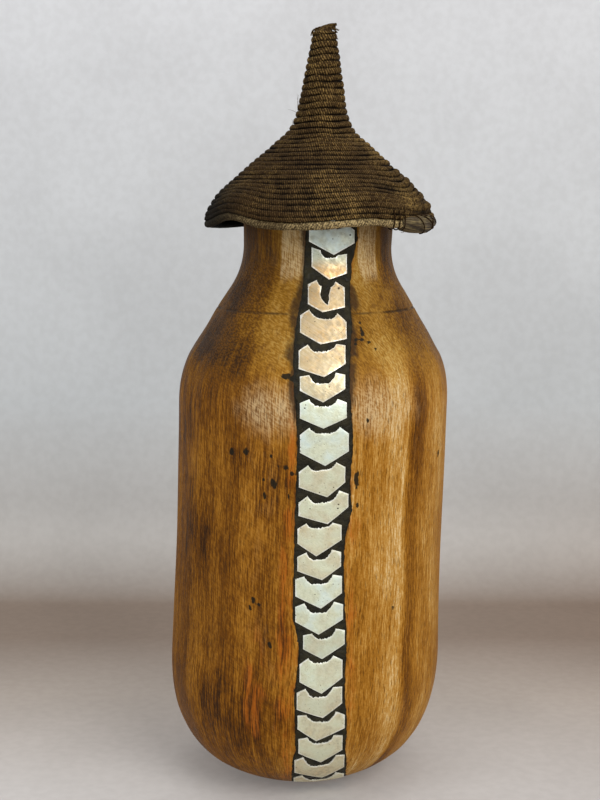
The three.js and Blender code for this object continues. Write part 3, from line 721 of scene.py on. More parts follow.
def clouds(vector, scale, stretch=1.0, detail=3.0, low=0.35, high=0.65):
    """Cloudy variation on a vector."""
    inputs = {
        "Vector": vector, "Scale": scale, "Stretch": stretch, "Detail": detail, "Low": low, "High": high,
    }
    return given(vector.tree, "Group", inputs, "Value", node_tree=cloud_group())


def specks(vector, scale, stretch=1.0, size=0.2, rarity=0.6):
    """Separate specks on a vector."""
    inputs = {"Vector": vector, "Scale": scale, "Stretch": stretch, "Size": size, "Rarity": rarity}
    return given(vector.tree, "Group", inputs, "Mask", node_tree=speck_group())


def new_material(name):
    """An empty material, its Principled shader and the place that it is lit from."""
    material = bpy.data.materials.new(name)
    material.use_nodes = True
    tree = material.node_tree
    return material, tree, tree.nodes["Principled BSDF"], given(tree, "TexCoord", output="Object")


def bumped(shader, height, distance, strength=1.0):
    """Fine relief on a shader."""
    inputs = {"Height": height, "Distance": distance, "Strength": strength}
    fed(shader, {"Normal": given(shader.id_data, "Bump", inputs)})


def ramp(value, stops):
    """Colours along a value."""
    made = node(value.tree, "ValToRGB", {0: value})
    band = made.color_ramp
    while len(band.elements) < len(stops):
        band.elements.new(0.5)
    for element, (at, tint) in zip(band.elements, stops):
        element.position = at
        element.color = (*tint, 1)
    return Value(made.outputs[0])


# Finishes


def wood_finish(f):
    """Oiled wood with upright grain, adze bands, rubbed places, scorching and smears of pitch, with painted
    sheen and glints on the shoulder and a tone that holds painted shade on the left.
    """
    material, tree, shader, place = new_material("oiled_wood")
    drift = given(tree, "TexNoise", {"Vector": place, "Scale": 14, "Detail": 2}, "Color")
    sway = given(tree, "VectorMath", {0: drift, 1: (0.005, 0.005, 0)}, operation="MULTIPLY")
    grain = given(tree, "VectorMath", {0: stored(tree, "grain", vector=True), 1: sway}, operation="ADD")
    bands = clouds(grain, 170, 0.03, 3, 0.3, 0.7)
    streaks = clouds(grain, 1300, 0.035, 7, 0.38, 0.62)
    fibres = clouds(grain, 2100, 0.12, 6, 0.38, 0.62)
    stipple = clouds(turned(place), 1250, 0.2, 6, 0.36, 0.64)
    blotches = clouds(place, 48, 0.4, 7, 0.33, 0.67)
    pores = specks(grain, 1350, 0.11, 0.36, 0.3)
    glint_flecks = specks(grain, 1000, 0.14, 0.26, 0.75)
    plain = stored(tree, "plain")
    uneven = clouds(place, 170, 0.4, 6, 0.3, 0.7) - 0.5
    # The stored tone holds painted shade on the left and painted light on the right besides the wood's own
    # colour
    tone = stored(tree, "tone") + (blotches - 0.5) * 0.2
    for value, swing in ((bands, 0.14), (streaks, 0.17), (fibres, 0.17)):
        tone = tone + (value - 0.5) * swing * plain
    mottled = (stipple - 0.5) * (1 - plain)
    tone = tone + mottled * 0.16 + (stipple - 0.5) * 0.08
    stained = ranged(stored(tree, "stained") + uneven * 0.7, -0.2, 0.9)
    tone = tone - stained * ranged(streaks, 1, 0, 0.12, 0.24)
    stops = (
        (0, f.wood_dark), (0.28, f.wood_brown), (0.55, f.wood_golden), (0.78, f.wood_light),
        (1, f.wood_pale),
    )
    tint = ramp(tone, stops)
    dry = stored(tree, "dry")
    tint = blended(dry, tint, blended(1, tint, linear(232, 246, 255), "MULTIPLY"))
    # Pale rubbed bands on the neck, and painted sheen where the window is reflected on the shoulder
    wear_and_sheen = ranged(stored(tree, "wear_and_sheen") + uneven * 0.25, 0, 0.85)
    wear_and_sheen_breakup = (streaks + fibres + stipple) * 0.333
    tint = blended(wear_and_sheen * ranged(wear_and_sheen_breakup, 0.15, 0.85, 0.1, 0.7), tint, f.wood_worn_and_sheen)
    scorched = ranged(stored(tree, "scorched") + uneven, -0.1, 0.9)
    tint = blended(scorched * ranged(streaks, 0.2, 0.8, 0.1, 0.5), tint, f.wood_scorched)
    soot = ranged(stored(tree, "sooty") + uneven, 0, 0.9) * 0.85
    crisp = stored(tree, "scored") * ranged(uneven, -0.5, 0.3, 0.6, 0.95)
    tint = blended(highest(soot, crisp), tint, linear(44, 30, 16))
    tint = blended(pores * ranged(plain, 0, 1, 0.3, 0.55), tint, f.wood_dark)
    # Pale flecks: painted glints in the shoulder's sheen, and faint pale flecks of the wood elsewhere
    tint = blended(glint_flecks * (wear_and_sheen * 0.3 + 0.05), tint, f.wood_pale)
    ragged = clouds(place, 420, 0.7, 4, 0.3, 0.7)
    wet = stored(tree, "smeared") + (ragged - 0.5) * 0.6
    smear = ranged(wet, -0.06, 0.3)
    tint = blended(smear * 0.95, tint, f.pitch)
    fed(shader, {
        "Base Color": tint,
        "Roughness": ranged(streaks + blotches, 0.3, 1.7, 0.45, 0.62),
        "Specular IOR Level": 0.1,
    })
    hatching = stored(tree, "rasped") * clouds(turned(place), 900, 0.08)
    relief = streaks * 0.5 + fibres * 0.5 - pores * 0.7 + hatching
    bumped(shader, relief, 0.00025, 0.6)
    return material


def turned(place):
    """Places turned so that marks run slanting across the neck."""
    return given(place.tree, "Mapping", {"Vector": place, "Rotation": (0.6, 0.9, 0)})


def pitch_finish(f):
    """Black resin, matt with dust, with lumps and smoother rubbed places."""
    material, tree, shader, place = new_material("black_pitch")
    dust = clouds(place, 260, 1, 4)
    lumps = clouds(place, 520, 1, 3, 0.3, 0.7)
    tint = blended(dust * 0.7, f.pitch, f.pitch_dusty)
    thin = stored(tree, "thin") * ranged(lumps, 0.3, 0.8)
    tint = blended(thin * 0.6, tint, linear(24, 22, 17))
    fed(shader, {"Base Color": tint, "Roughness": ranged(lumps, 0, 1, 0.5, 0.8), "Specular IOR Level": 0.2})
    bumped(shader, lumps + dust * 0.6, 0.0004, 0.8)
    return material


def plate_finish(f):
    """Old aluminium: cloudy skin, faint scratches, stains and small pits, with painted reflection of warm
    light, painted light and shade on each plate and a painted highlight along the edges.
    """
    material, tree, shader, place = new_material("old_aluminium")
    moods = clouds(place, 130, 1, 3, 0.3, 0.7)
    mottle = clouds(place, 520, 0.8, 5, 0.3, 0.7)
    scratches = clouds(turned(place), 1500, 0.06, 2, 0.35, 0.65)
    pits = specks(place, 430, 0.8, 0.17, 0.8)
    pits = highest(pits, specks(place, 900, 0.8, 0.2, 0.72))
    flat = given(tree, "VectorMath", {0: place, 1: (1, 0, 1)}, operation="MULTIPLY")
    for x, z, radius in PITS:
        away = given(tree, "VectorMath", {0: flat, 1: (x * MM, 0, z * MM)}, "Value", operation="DISTANCE")
        pits = highest(pits, ranged(away, radius * MM, radius * MM / 2))
    # Warmth: partly the plates' own skin and partly painted reflection of warm light
    warmth = stored(tree, "warmth") + (moods - 0.5) * 0.28
    tint = blended(ranged(warmth, 0, 1, kind="LINEAR"), f.plate_cool, f.plate_warm)
    tint = blended(ranged(warmth, 0, -0.35, kind="LINEAR"), tint, f.plate_blue)
    # Lightness: partly painted light and shade on each plate
    tint = blended(1, tint, stored(tree, "lightness"), "MULTIPLY")
    grime = mottle * ranged(moods, 0.2, 0.8, 0.1, 0.42)
    tint = blended(grime, tint, linear(150, 148, 130))
    tint = blended(scratches * 0.12, tint, f.plate_edge)
    # A bright rim along the plates' cut edges: partly the brighter cut metal and partly a painted highlight
    rim = ranged(stored(tree, "edge_depth"), 0.75, 0.1)
    tint = blended(rim * ranged(mottle, 0, 0.8, 0.9, 0.4), tint, f.plate_edge)
    tint = blended(pits * 0.85, tint, f.wood_dark)
    fed(shader, {"Base Color": tint, "Metallic": 0.65, "Roughness": ranged(mottle, 0, 1, 0.42, 0.62)})
    bumped(shader, mottle * 0.6 - pits + scratches * 0.25, 0.00012, 0.7)
    return material


def cut_edge_finish(f):
    """Bright cut edges of the plates."""
    material, _, shader, place = new_material("cut_aluminium")
    nicks = clouds(place, 900, 1, 3)
    fed(shader, {
        "Base Color": blended(nicks * 0.35, f.plate_edge, f.plate_warm),
        "Metallic": 0.55,
        "Roughness": ranged(nicks, 0, 1, 0.28, 0.5),
    })
    bumped(shader, nicks, 0.0001, 0.5)
    return material


def fibre_finish(f, name, crest_tint, high_tint, golden=1):
    """Smoked fibre: painted shade in the grooves and under the brim's left lobe, rubbed olive on the crests
    with a painted highlight, painted lighter on the right and darker on the left, golden where hands wore
    it.
    """
    material, tree, shader, place = new_material(name)
    patches = clouds(place, 42, 1, 3, 0.38, 0.66)
    threads = clouds(place, 1000, 1, 3, 0.3, 0.7)
    strands_of = clouds(place, 2400, 1, 2, 0.3, 0.7)
    smoke = ranged(clouds(place, 26, 1, 3, 0.3, 0.7), 0, 1, 0.45, 1)
    across = given(tree, "SeparateXYZ", {0: place})
    # Painted light and shade: the crests' light colour grows from the left of the lid to the right
    side = ranged(across, -0.06, 0.05, 0.3, 1.4)
    # Crest colour: partly rubbed fibre and partly a painted highlight on the crests
    raised = stored(tree, "crest") ** 2.2 * (smoke * side)
    crest = raised * ranged(threads, 0, 1, 0.15, 1)
    tint = blended(crest, f.fibre_brown, crest_tint)
    rubbed = ranged(threads, 0.2, 1, 0.3, 1) * golden
    gold = patches * crest * rubbed
    tint = blended(gold, tint, high_tint)
    # Painted shade in the grooves between rows and on the lid's underside
    tint = blended(ranged(stored(tree, "groove_shade"), 0.25, 1), tint, f.fibre_dark)
    tint = blended(ranged(strands_of, 0.7, 0, 0, 0.5), tint, f.fibre_dark)
    # Painted shade under the brim's raised left lobe: the far left of the lid goes almost black
    tint = blended(ranged(across, -0.026, -0.046, 0, 0.85), tint, linear(22, 21, 17))
    fed(shader, {"Base Color": tint, "Roughness": 0.72, "Specular IOR Level": 0.06})
    bumped(shader, strands_of + threads * 0.7, 0.00022, 0.8)
    return material


def laid_finish(f):
    """Tan fibre laid side by side, with painted shade in the gaps between the strands and in the grooves."""
    material, tree, shader, place = new_material("laid_fibre")
    laid = stored(tree, "laid", vector=True)
    strands_of = clouds(laid, 1500, 0.05, 3, 0.3, 0.7)
    bundles = clouds(laid, 500, 0.08, 3, 0.35, 0.65)
    dirt = clouds(place, 220, 1, 4, 0.4, 0.7)
    tint = blended(strands_of * 0.8, f.fibre_brown, f.pad_tan)
    # Painted shade in the gaps between the laid strands
    tint = blended(ranged(bundles, 0.45, 0, 0, 0.75), tint, f.fibre_dark)
    tint = blended(dirt * 0.55, tint, f.fibre_brown)
    # Painted shade in the grooves of the pad
    tint = blended(ranged(stored(tree, "groove_shade"), 0.2, 1, 0, 0.9), tint, f.fibre_dark)
    fed(shader, {"Base Color": tint, "Roughness": 0.7, "Specular IOR Level": 0.3})
    bumped(shader, strands_of + bundles, 0.0003, 0.8)
    return material


# Vessel


SPIN_STEPS = 256

# The spin's steps are crowded towards the front, by this share and about this many degrees to the right
FRONT_CROWDING = 0.72
FRONT_MIDDLE = 8

CHANNEL_DEPTH = 0.0013
CHANNEL_SLOPE = 0.0012

# The grain's pattern is laid on a round log of this radius
GRAIN_RADIUS = 0.065


def build_vessel(s, f):
    """Turns the vessel's wall, cuts its flats, channel and scored line, and marks rubbed and dirty places,
    painted sheen spots and a tone with painted shade on the left.
    """
    side = spaced(vessel_side(s), 0.0013)
    line = s.score_height + np.array([-0.8, -0.4, 0, 0.4, 0.8]) * MM
    heights = np.unique(np.concatenate([side[:, 1], line]))
    side = np.column_stack([np.interp(heights, side[:, 1], side[:, 0]), heights])
    rim_start = (s.rim_radius, s.rim_height - s.rim_round)
    rim = bend(7, rim_start, (s.rim_radius, s.rim_height), (s.rim_radius - s.rim_round, s.rim_height))
    mouth = s.rim_radius - s.wall
    inner = offset(spaced(vessel_side(s), 0.006), -s.wall)
    inner = inner[(inner[:, 1] > s.floor + MM) & (inner[:, 1] < s.rim_height - 0.005)][::-1]
    lip_top = [(mouth + 0.0025, s.rim_height), (mouth + 0.001, s.rim_height)]
    lip = bend(4, *lip_top, (mouth, s.rim_height - 0.004))
    bottom = np.array([[inner[-1, 0] - 0.004, s.floor], [inner[-1, 0] / 2, s.floor], [0, s.floor]])
    profile = np.vstack([[[0, 0], [s.foot_radius / 2, 0]], side, rim[1:], lip, inner, bottom])
    ring = [(radius, 0, height) for radius, height in profile]
    piece = drawn("wooden_vessel", ring, [(i, i + 1) for i in range(len(ring) - 1)])
    edit_all(piece)
    whole = 2 * math.pi
    bpy.ops.mesh.spin(steps=SPIN_STEPS, angle=whole, center=(0, 0, 0), axis=(0, 0, 1), use_auto_merge=True)
    bpy.ops.mesh.select_all(action="SELECT")
    bpy.ops.mesh.remove_doubles(threshold=1e-6)
    bpy.ops.mesh.normals_make_consistent(inside=False)
    close_edit()

    points = points_of(piece)
    azimuth = np.arctan2(points[:, 0], -points[:, 1])
    azimuth = azimuth - FRONT_CROWDING * np.sin(azimuth - np.radians(FRONT_MIDDLE))
    azimuth = (azimuth + math.pi) % (2 * math.pi) - math.pi
    radius, height = np.hypot(points[:, 0], points[:, 1]), points[:, 2]
    full = np.interp(height, side[:, 1], side[:, 0])
    outside = (radius > full - 0.003) & (height < s.rim_height - 1e-6)
    picture_x = radius * np.sin(azimuth) + s.lean * height
    front = np.cos(azimuth) > 0.3
    edge = past_strip(picture_x, height, s)
    channel = smooth(-edge, 0, CHANNEL_SLOPE) * front
    cut = flats(azimuth, height, s) + CHANNEL_DEPTH * channel
    uneven = 0.55 + 0.45 * waves(np.column_stack([azimuth * 0.06, height]), 0.02, 5)
    scored = 1 - smooth(np.abs(height - s.score_height), 0.0001, 0.0009)
    cut += s.score_depth * scored * np.clip(uneven, 0.1, 1) * (1 - channel) + hand_marks(azimuth, height, s)
    radius = radius - np.where(outside, cut, 0)
    x = radius * np.sin(azimuth) + s.lean * height
    move_points(piece, np.column_stack([x, -radius * np.cos(azimuth), height]))

    shifted = np.degrees(azimuth) + 1.6 * waves(np.column_stack([height, height]), 0.07, 2)
    # The tone round the pot carries painted shade on the left and painted light on the right besides the
    # wood's own colour
    body_tone, neck_tone = (np.interp(shifted, *np.array(tones).T) for tones in (BODY_TONES, NECK_TONES))
    on_body = 1 - smooth(height, s.shoulder_height, s.cone_foot + 0.012)
    tone = np.where(outside, body_tone * on_body + neck_tone * (1 - on_body), 0.3)
    down = np.interp(height, side[:, 1], run_lengths(side))
    grain = np.column_stack([np.sin(azimuth) * GRAIN_RADIUS, -np.cos(azimuth) * GRAIN_RADIUS, down])
    underfoot = np.maximum(s.foot_radius - radius, 0) * (height < MM)
    keep_vectors(piece, "grain", grain - (0, 0, 1) * underfoot[:, None])
    keep_values(piece, "tone", tone)
    # Pale bands up the neck: rubbed wood with painted sheen on it
    bands = [smooth(shifted, low, low + 2) - smooth(shifted, high - 2, high) for low, high in NECK_BANDS]
    rubbed = np.max(bands, axis=0) + smooth(height, s.neck_foot - 0.02, s.neck_foot - 0.008) - 1
    halo = 1.15 - edge / 0.0036 + smooth(height, s.shoulder_height - 0.02, s.cone_foot) - 1
    halo = halo - 1.2 * smooth(height, s.cone_top, s.neck_foot - 0.01) * (picture_x > 0.016)
    marks = {
        # Rubbed neck bands, and the painted sheen spots on the shoulder
        "wear_and_sheen": np.maximum(spots(picture_x, height, SHEEN_SPOTS), rubbed),
        "stained": spots(picture_x, height, STAINS),
        "sooty": halo,
        "scorched": np.maximum(spots(picture_x, height, SCORCHED), 0.3 - edge / 0.005),
        "smeared": np.maximum(spots(picture_x, height, SMEARS), 0.2 - edge / 0.0009),
    }
    for name, values in marks.items():
        keep_values(piece, name, np.where(front & outside, values, -1))
    keep_values(piece, "scored", scored * np.clip(uneven + 0.25, 0.3, 1) * outside)
    on_neck = smooth(height, s.neck_foot - 0.014, s.neck_foot - 0.004)
    keep_values(piece, "plain", outside * np.maximum(on_body, 0.85 * on_neck))
    keep_values(piece, "dry", outside * (1 - on_body))
    rasp_start = smooth(height, s.score_height, s.score_height + 0.002)
    rasp_end = smooth(height, s.neck_foot - 0.012, s.neck_foot)
    keep_values(piece, "rasped", rasp_start * (1 - rasp_end) * outside)
    shaded(piece, 50)
    finished(piece, "vessel", "wood", ["vessel"], wood_finish(f))


# Pitch and plates


def plate_level(index, x, above):
    """Height in millimetres of a point of a plate, from its x and its measured height above the tip."""
    tip, _, left, right, *_, rise = PLATES[index]
    return tip + above + rise * (x - (left + right) / 2) / (right - left)


def lower_edge(index, x):
    """Height of a plate's lower edge at x, and past the last plate no limit."""
    if index >= len(PLATES):
        return 1e9
    _, tip_x, left, right, low, *_ = PLATES[index]
    away = (tip_x - x) / (tip_x - left) if x < tip_x else (x - tip_x) / (right - tip_x)
    point = plate_level(index, tip_x, 0)
    corner = plate_level(index, left if x < tip_x else right, low)
    return point + (corner - point) * away


def snipped(start, end, sag, maker, step=0.7, jag=0.22):
    """A hand-snipped edge between two corners, without its end: it sags and wavers."""
    start, end = np.array(start), np.array(end)
    count = max(2, round(np.linalg.norm(end - start) / step))
    along = np.linspace(0, 1, count + 1)[:-1]
    side = np.array([start[1] - end[1], end[0] - start[0]]) / max(np.linalg.norm(end - start), 1e-9)
    points = []
    for t in along:
        out = 4 * t * (1 - t) * sag + (maker.uniform(-jag, jag) if t > 0 else 0)
        points.append(tuple(start + (end - start) * t + side * out))
    return points


def plate_outline(index, s):
    """A plate's outline in millimetres, x and height, going round from the tip to the right."""
    _, tip_x, left, right, low, high, ear, floor, _ = PLATES[index]
    maker = random.Random(40 + index)
    gap, inset = s.plate_gap / MM, s.ear_inset / MM
    middle = (left + right) / 2
    half = (right - left - 2 * inset) * 0.25
    above = PLATES[index + 1][1] if index + 1 < len(PLATES) else middle
    ceiling = lower_edge(index + 1, above) - gap

    def under(x, height, limit):
        return (x, min(plate_level(index, x, height), limit))

    tip = (tip_x, plate_level(index, tip_x, 0))
    right_low, left_low = (right, plate_level(index, right, low)), (left, plate_level(index, left, low))
    right_high, left_high = (right, plate_level(index, right, high)), (left, plate_level(index, left, high))
    right_ear = under(right - inset, ear, lower_edge(index + 1, right - inset) - gap)
    left_ear = under(left + inset, ear, lower_edge(index + 1, left + inset) - gap)
    right_floor = under(middle + half, floor, ceiling)
    left_floor = under(middle - half, floor, ceiling)
    outline = [tip, *snipped(right_low, right_high, 0.1, maker, 3, 0.05)]
    outline += snipped(right_high, right_ear, 0, maker, 2, 0.05)
    outline += snipped(right_ear, right_floor, 0.45, maker)
    if index == SPLIT_PLATE:
        torn = [(tip_x + dx, plate_level(index, tip_x + dx, dz)) for dx, dz in reversed(SPLIT)]
        outline += [right_floor, *torn, left_floor]
    else:
        outline += snipped(right_floor, left_floor, 0.2, maker, 0.5, 0.36)
    outline += snipped(left_floor, left_ear, 0.45, maker)
    outline += snipped(left_ear, left_high, 0, maker, 2, 0.05)
    return [*outline, *snipped(left_high, left_low, 0.1, maker, 3, 0.05), left_low]


def inside_by(x, z, outline):
    """Distance inside an outline in millimetres, less than 0 outside it."""
    corners = np.array(outline)
    nearest = np.full(len(x), 1e9)
    crossed = np.zeros(len(x), bool)
    for a, b in zip(corners, np.roll(corners, -1, axis=0)):
        step = b - a
        t = np.clip(((x - a[0]) * step[0] + (z - a[1]) * step[1]) / max(step @ step, 1e-12), 0, 1)
        nearest = np.minimum(nearest, np.hypot(x - a[0] - t * step[0], z - a[1] - t * step[1]))
        if a[1] != b[1]:
            spans = (a[1] > z) != (b[1] > z)
            crossed ^= spans & (x < a[0] + (z - a[1]) * step[0] / step[1])
    return np.where(crossed, nearest, -nearest)


def build_pitch(s, f):
    """Fills the channel with pitch, level with the wood, ragged at its edges, low under the plates."""
    bpy.ops.object.select_all(action="DESELECT")
    bpy.ops.mesh.primitive_grid_add(x_subdivisions=72, y_subdivisions=380, size=1)
    piece = bpy.context.object
    piece.name = "pitch_filling"
    points = points_of(piece)
    side = spaced(vessel_side(s), 0.0005)
    low, high = s.strip_start - 0.0006, s.strip_end + 0.0006
    side = side[(side[:, 1] > low) & (side[:, 1] < high)]
    along = run_lengths(side)
    height = np.interp((points[:, 1] + 0.5) * along[-1], along, side[:, 1])
    left, right = strip_sides(height)
    x = left - 0.0026 + (points[:, 0] + 0.5) * (right - left + 0.0052)
    edge = past_strip(x, height, s)
    flat = np.column_stack([x, height])
    ragged = 0.00022 * waves(flat, 0.006, 11) + 0.0003 * waves(flat, 0.017, 12)
    ragged += 0.0001 * waves(flat, 0.0031, 13)
    for middle, level, reach in PITCH_BULGES:
        away = np.hypot(x / MM - middle, (height / MM - level) / 1.6)
        ragged += 0.0016 * np.clip(1 - away / reach, 0, 1)
    edge = edge - ragged
    cover = smooth(-edge, -0.0009, 0.0007)
    proud = -0.0009 + 0.00084 * cover + 0.00009 * waves(flat, 0.004, 14) * cover
    inside = np.full(len(x), -9.0)
    for index in range(len(PLATES)):
        outline = plate_outline(index, s)
        levels = [z for _, z in outline]
        near = (height / MM > min(levels) - 3) & (height / MM < max(levels) + 3)
        inside[near] = np.maximum(inside[near], inside_by(x[near] / MM, height[near] / MM, outline))
    proud = np.where(inside > 0, -0.0006, proud - 0.00012 * smooth(inside, -0.9, 0))
    y = front_y(x, height, proud, s)
    move_points(piece, np.column_stack([x, y, height]))
    keep_values(piece, "thin", 1 - smooth(-edge, -0.0002, 0.0014))
    apply_modifier(piece, "Depth", "SOLIDIFY", thickness=0.0018, offset=-1)
    shaded(piece)
    finished(piece, "vessel", "pitch", ["pitch"], pitch_finish(f))


def build_plate(index, s, materials):
    """Cuts one plate from sheet, bends it round the wood, and rounds and brightens its cut edges."""
    outline = plate_outline(index, s)
    name = f"plate_{len(PLATES) - index:02d}"
    flat = [(x * MM, 0, z * MM) for x, z in outline]
    piece = drawn("inlaid_" + name, flat, [], [tuple(range(len(flat)))])
    xs, zs = [p[0] for p in flat], [p[2] for p in flat]
    edit_all(piece)
    for places, axis in ((xs, (1, 0, 0)), (zs, (0, 0, 1))):
        sliced(np.arange(min(places) + 0.0021, max(places) - 0.0008, 0.0024), axis)
    close_edit()
    points = points_of(piece)
    x, height = points[:, 0], points[:, 2]
    maker = random.Random(index)
    middle_x, middle_z = (min(xs) + max(xs)) / 2, (min(zs) + max(zs)) / 2
    tilt = maker.uniform(-0.012, 0.012) * (x - middle_x) + maker.uniform(-0.012, 0.012) * (height - middle_z)
    dents = 0.00006 * waves(points[:, [0, 2]], 0.007, 60 + index)
    points[:, 1] = front_y(x, height, s.plate_proud, s, 0.3) - tilt - dents
    move_points(piece, points)
    depth = inside_by(x / MM, height / MM, outline)
    # Each plate's warmth and lightness carry painted reflection, light and shade besides its own skin
    warmth, lightness = PLATE_SKINS_AND_LIGHT[index]
    low = smooth(middle_z - height, -0.004, 0.005) if index in BLUSHED else 0.5
    keep_values(piece, "warmth", warmth + 1.1 * (low - 0.5))
    keep_values(piece, "lightness", lightness + 0.14 * (low - 0.5))
    keep_values(piece, "edge_depth", np.clip(depth, 0, 2.4))
    apply_modifier(piece, "Sheet", "SOLIDIFY", thickness=s.plate_thickness, offset=-1)
    bevel = {"width": 0.00038, "segments": 2, "limit_method": "ANGLE", "angle_limit": math.radians(40)}
    apply_modifier(piece, "Cut edge", "BEVEL", material=1, **bevel)
    shaded(piece, 35)
    finished(piece, "vessel", "plate", [name], *materials)


# Lid


def lid_line(l):
    """Radius and height down the lid's outside, from the spire's top to the brim, with its directions."""
    cone_top = l.brim_drop + l.cone_height
    spire_foot = cone_top + l.flare_height
    cone_radius = l.eaves_radius - l.cone_height / l.slope
    taper = (l.spire_foot - l.spire_top) / l.spire_height
    back = (cone_radius - l.spire_foot - taper * l.flare_height) / (1 - taper * l.slope)
    throat = (cone_radius - back, cone_top + back * l.slope)
    brim = l.eaves_radius + l.brim_reach
    points = np.vstack([
        bend(40, (l.spire_top, spire_foot + l.spire_height), (l.spire_foot, spire_foot)),
        bend(40, (l.spire_foot, spire_foot), throat, (cone_radius, cone_top))[1:],
        bend(40, (cone_radius, cone_top), (l.eaves_radius, l.brim_drop))[1:],
        bend(60, (l.eaves_radius, l.brim_drop), (brim, l.brim_drop - l.brim_reach * l.slope), (brim, 0))[1:],
    ])
    points = spaced(points, 0.0002)
    return points, directions(points)


def brim_wave(azimuth):
    """How far the brim is bent up at an azimuth in degrees from the front."""
    total = np.zeros_like(azimuth)
    for middle, half, rise in BRIM_BENDS:
        away = np.abs((azimuth - middle + 540) % 360 - 180)
        total += rise * MM * np.exp(-((away / half) ** 2) * 1.4)
    return total


def lid_place(radius, height, azimuth, l, s):
    """Points of the seated lid, from radius, height above its lowest row and azimuth in degrees."""
    turn = np.radians(azimuth)
    x = radius * np.sin(turn) + s.lean * (height + l.seat)
    return np.column_stack([x, -radius * np.cos(turn), height + l.seat])


def lid_points(down, azimuth, depth, l, s):
    """Points at a share of the way down the lid and a depth below its outside."""
    line, ways = lid_line(l)
    along = np.linspace(0, 1, len(line))
    radius, height = (np.interp(down, along, line[:, i]) for i in (0, 1))
    out, rise = (np.interp(down, along, ways[:, i]) for i in (0, 1))
    bent = brim_wave(azimuth) * smooth(radius, l.eaves_radius, l.eaves_radius + l.brim_reach)
    return lid_place(radius + rise * depth, height - out * depth + bent, azimuth, l, s)


def below_outside(points, l, s):
    """How far points of the lid are below its outer line, and the way out to it."""
    line, _ = lid_line(l)
    line = line[::4]
    height = points[:, 2] - l.seat
    x = points[:, 0] - s.lean * points[:, 2]
    azimuth = np.degrees(np.arctan2(x, -points[:, 1]))
    radius = np.hypot(x, points[:, 1])
    height = height - brim_wave(azimuth) * smooth(radius, l.eaves_radius, l.eaves_radius + l.brim_reach)
    nearest = np.full(len(points), 1e9)
    inner = np.zeros(len(points), bool)
    out, rise = np.zeros(len(points)), np.zeros(len(points))
    for (r, h), way in zip(line, directions(line)):
        away = np.hypot(radius - r, height - h)
        closer = away < nearest
        nearest = np.where(closer, away, nearest)
        inner = np.where(closer, (radius - r) * way[1] - (height - h) * way[0] > 0, inner)
        out, rise = np.where(closer, -way[1], out), np.where(closer, way[0], rise)
    turn = np.radians(azimuth)
    outward = np.column_stack([out * np.sin(turn), -out * np.cos(turn), rise])
    return np.where(inner, nearest, -nearest), outward


def thread_turn(name, turn_length, radius, waist, sides, slant, dull=0.0):
    """One turn of thread round the coil: a short tube, drawn in and duller at both ends."""
    bpy.ops.object.select_all(action="DESELECT")
    bpy.ops.mesh.primitive_cylinder_add(
        vertices=sides, radius=radius, depth=turn_length, end_fill_type="NOTHING",
        location=(turn_length / 2, 0, 0), rotation=(0, math.pi / 2, 0),
    )
    piece = bpy.context.object
    piece.name = name
    bpy.ops.object.transform_apply(location=True, rotation=True, scale=True)
    bpy.ops.object.mode_set(mode="EDIT")
    sliced((turn_length * 0.34, turn_length * 0.66), (1, 0, 0))
    close_edit()
    points = points_of(piece)
    full = 1 - np.abs(points[:, 0] / turn_length - 0.5) * 2
    points[:, 1:] *= (waist + (1 - waist) * np.minimum(full * 1.5, 1))[:, None]
    points[:, 0] += slant * points[:, 2]
    move_points(piece, points)
    keep_values(piece, "crest", dull + (1 - dull) * np.minimum(full * 1.5, 1))
    return piece


def wound(piece, curve, start, turn_length, count, close=True):
    """Repeats a turn of thread along a curve from a distance on."""
    points = points_of(piece)
    points[:, 0] += start
    move_points(piece, points)
    apply_modifier(
        piece, "Turns", "ARRAY", fit_type="FIXED_COUNT", count=count, use_relative_offset=False,
        use_constant_offset=True, constant_offset_displace=(turn_length, 0, 0), use_merge_vertices=True,
        merge_threshold=turn_length * 0.02,
    )
    apply_modifier(piece, "Along the coil", "CURVE", object=curve, deform_axis="POS_X")
    edit_all(piece)
    bpy.ops.mesh.remove_doubles(threshold=turn_length * 0.02)
    if close:
        bpy.ops.mesh.fill_holes(sides=0)
    close_edit()
    return piece


# How much of the depth of the grooves between rows is pressed flat
GROOVE_FILL = 0.4

# Where the rows are uneven at the brim's right end and gathered beside it: azimuth and half width in degrees
RIGHT_END = (84, 30)
GATHERED = (58, 17)

# The coil is built in three lengths, the first of them these rows of the spire
SPIRE_ROWS = 14.5
# Radius of the dark strand that paints the shade between the rows
DARK_FILL_RADIUS = 0.0008


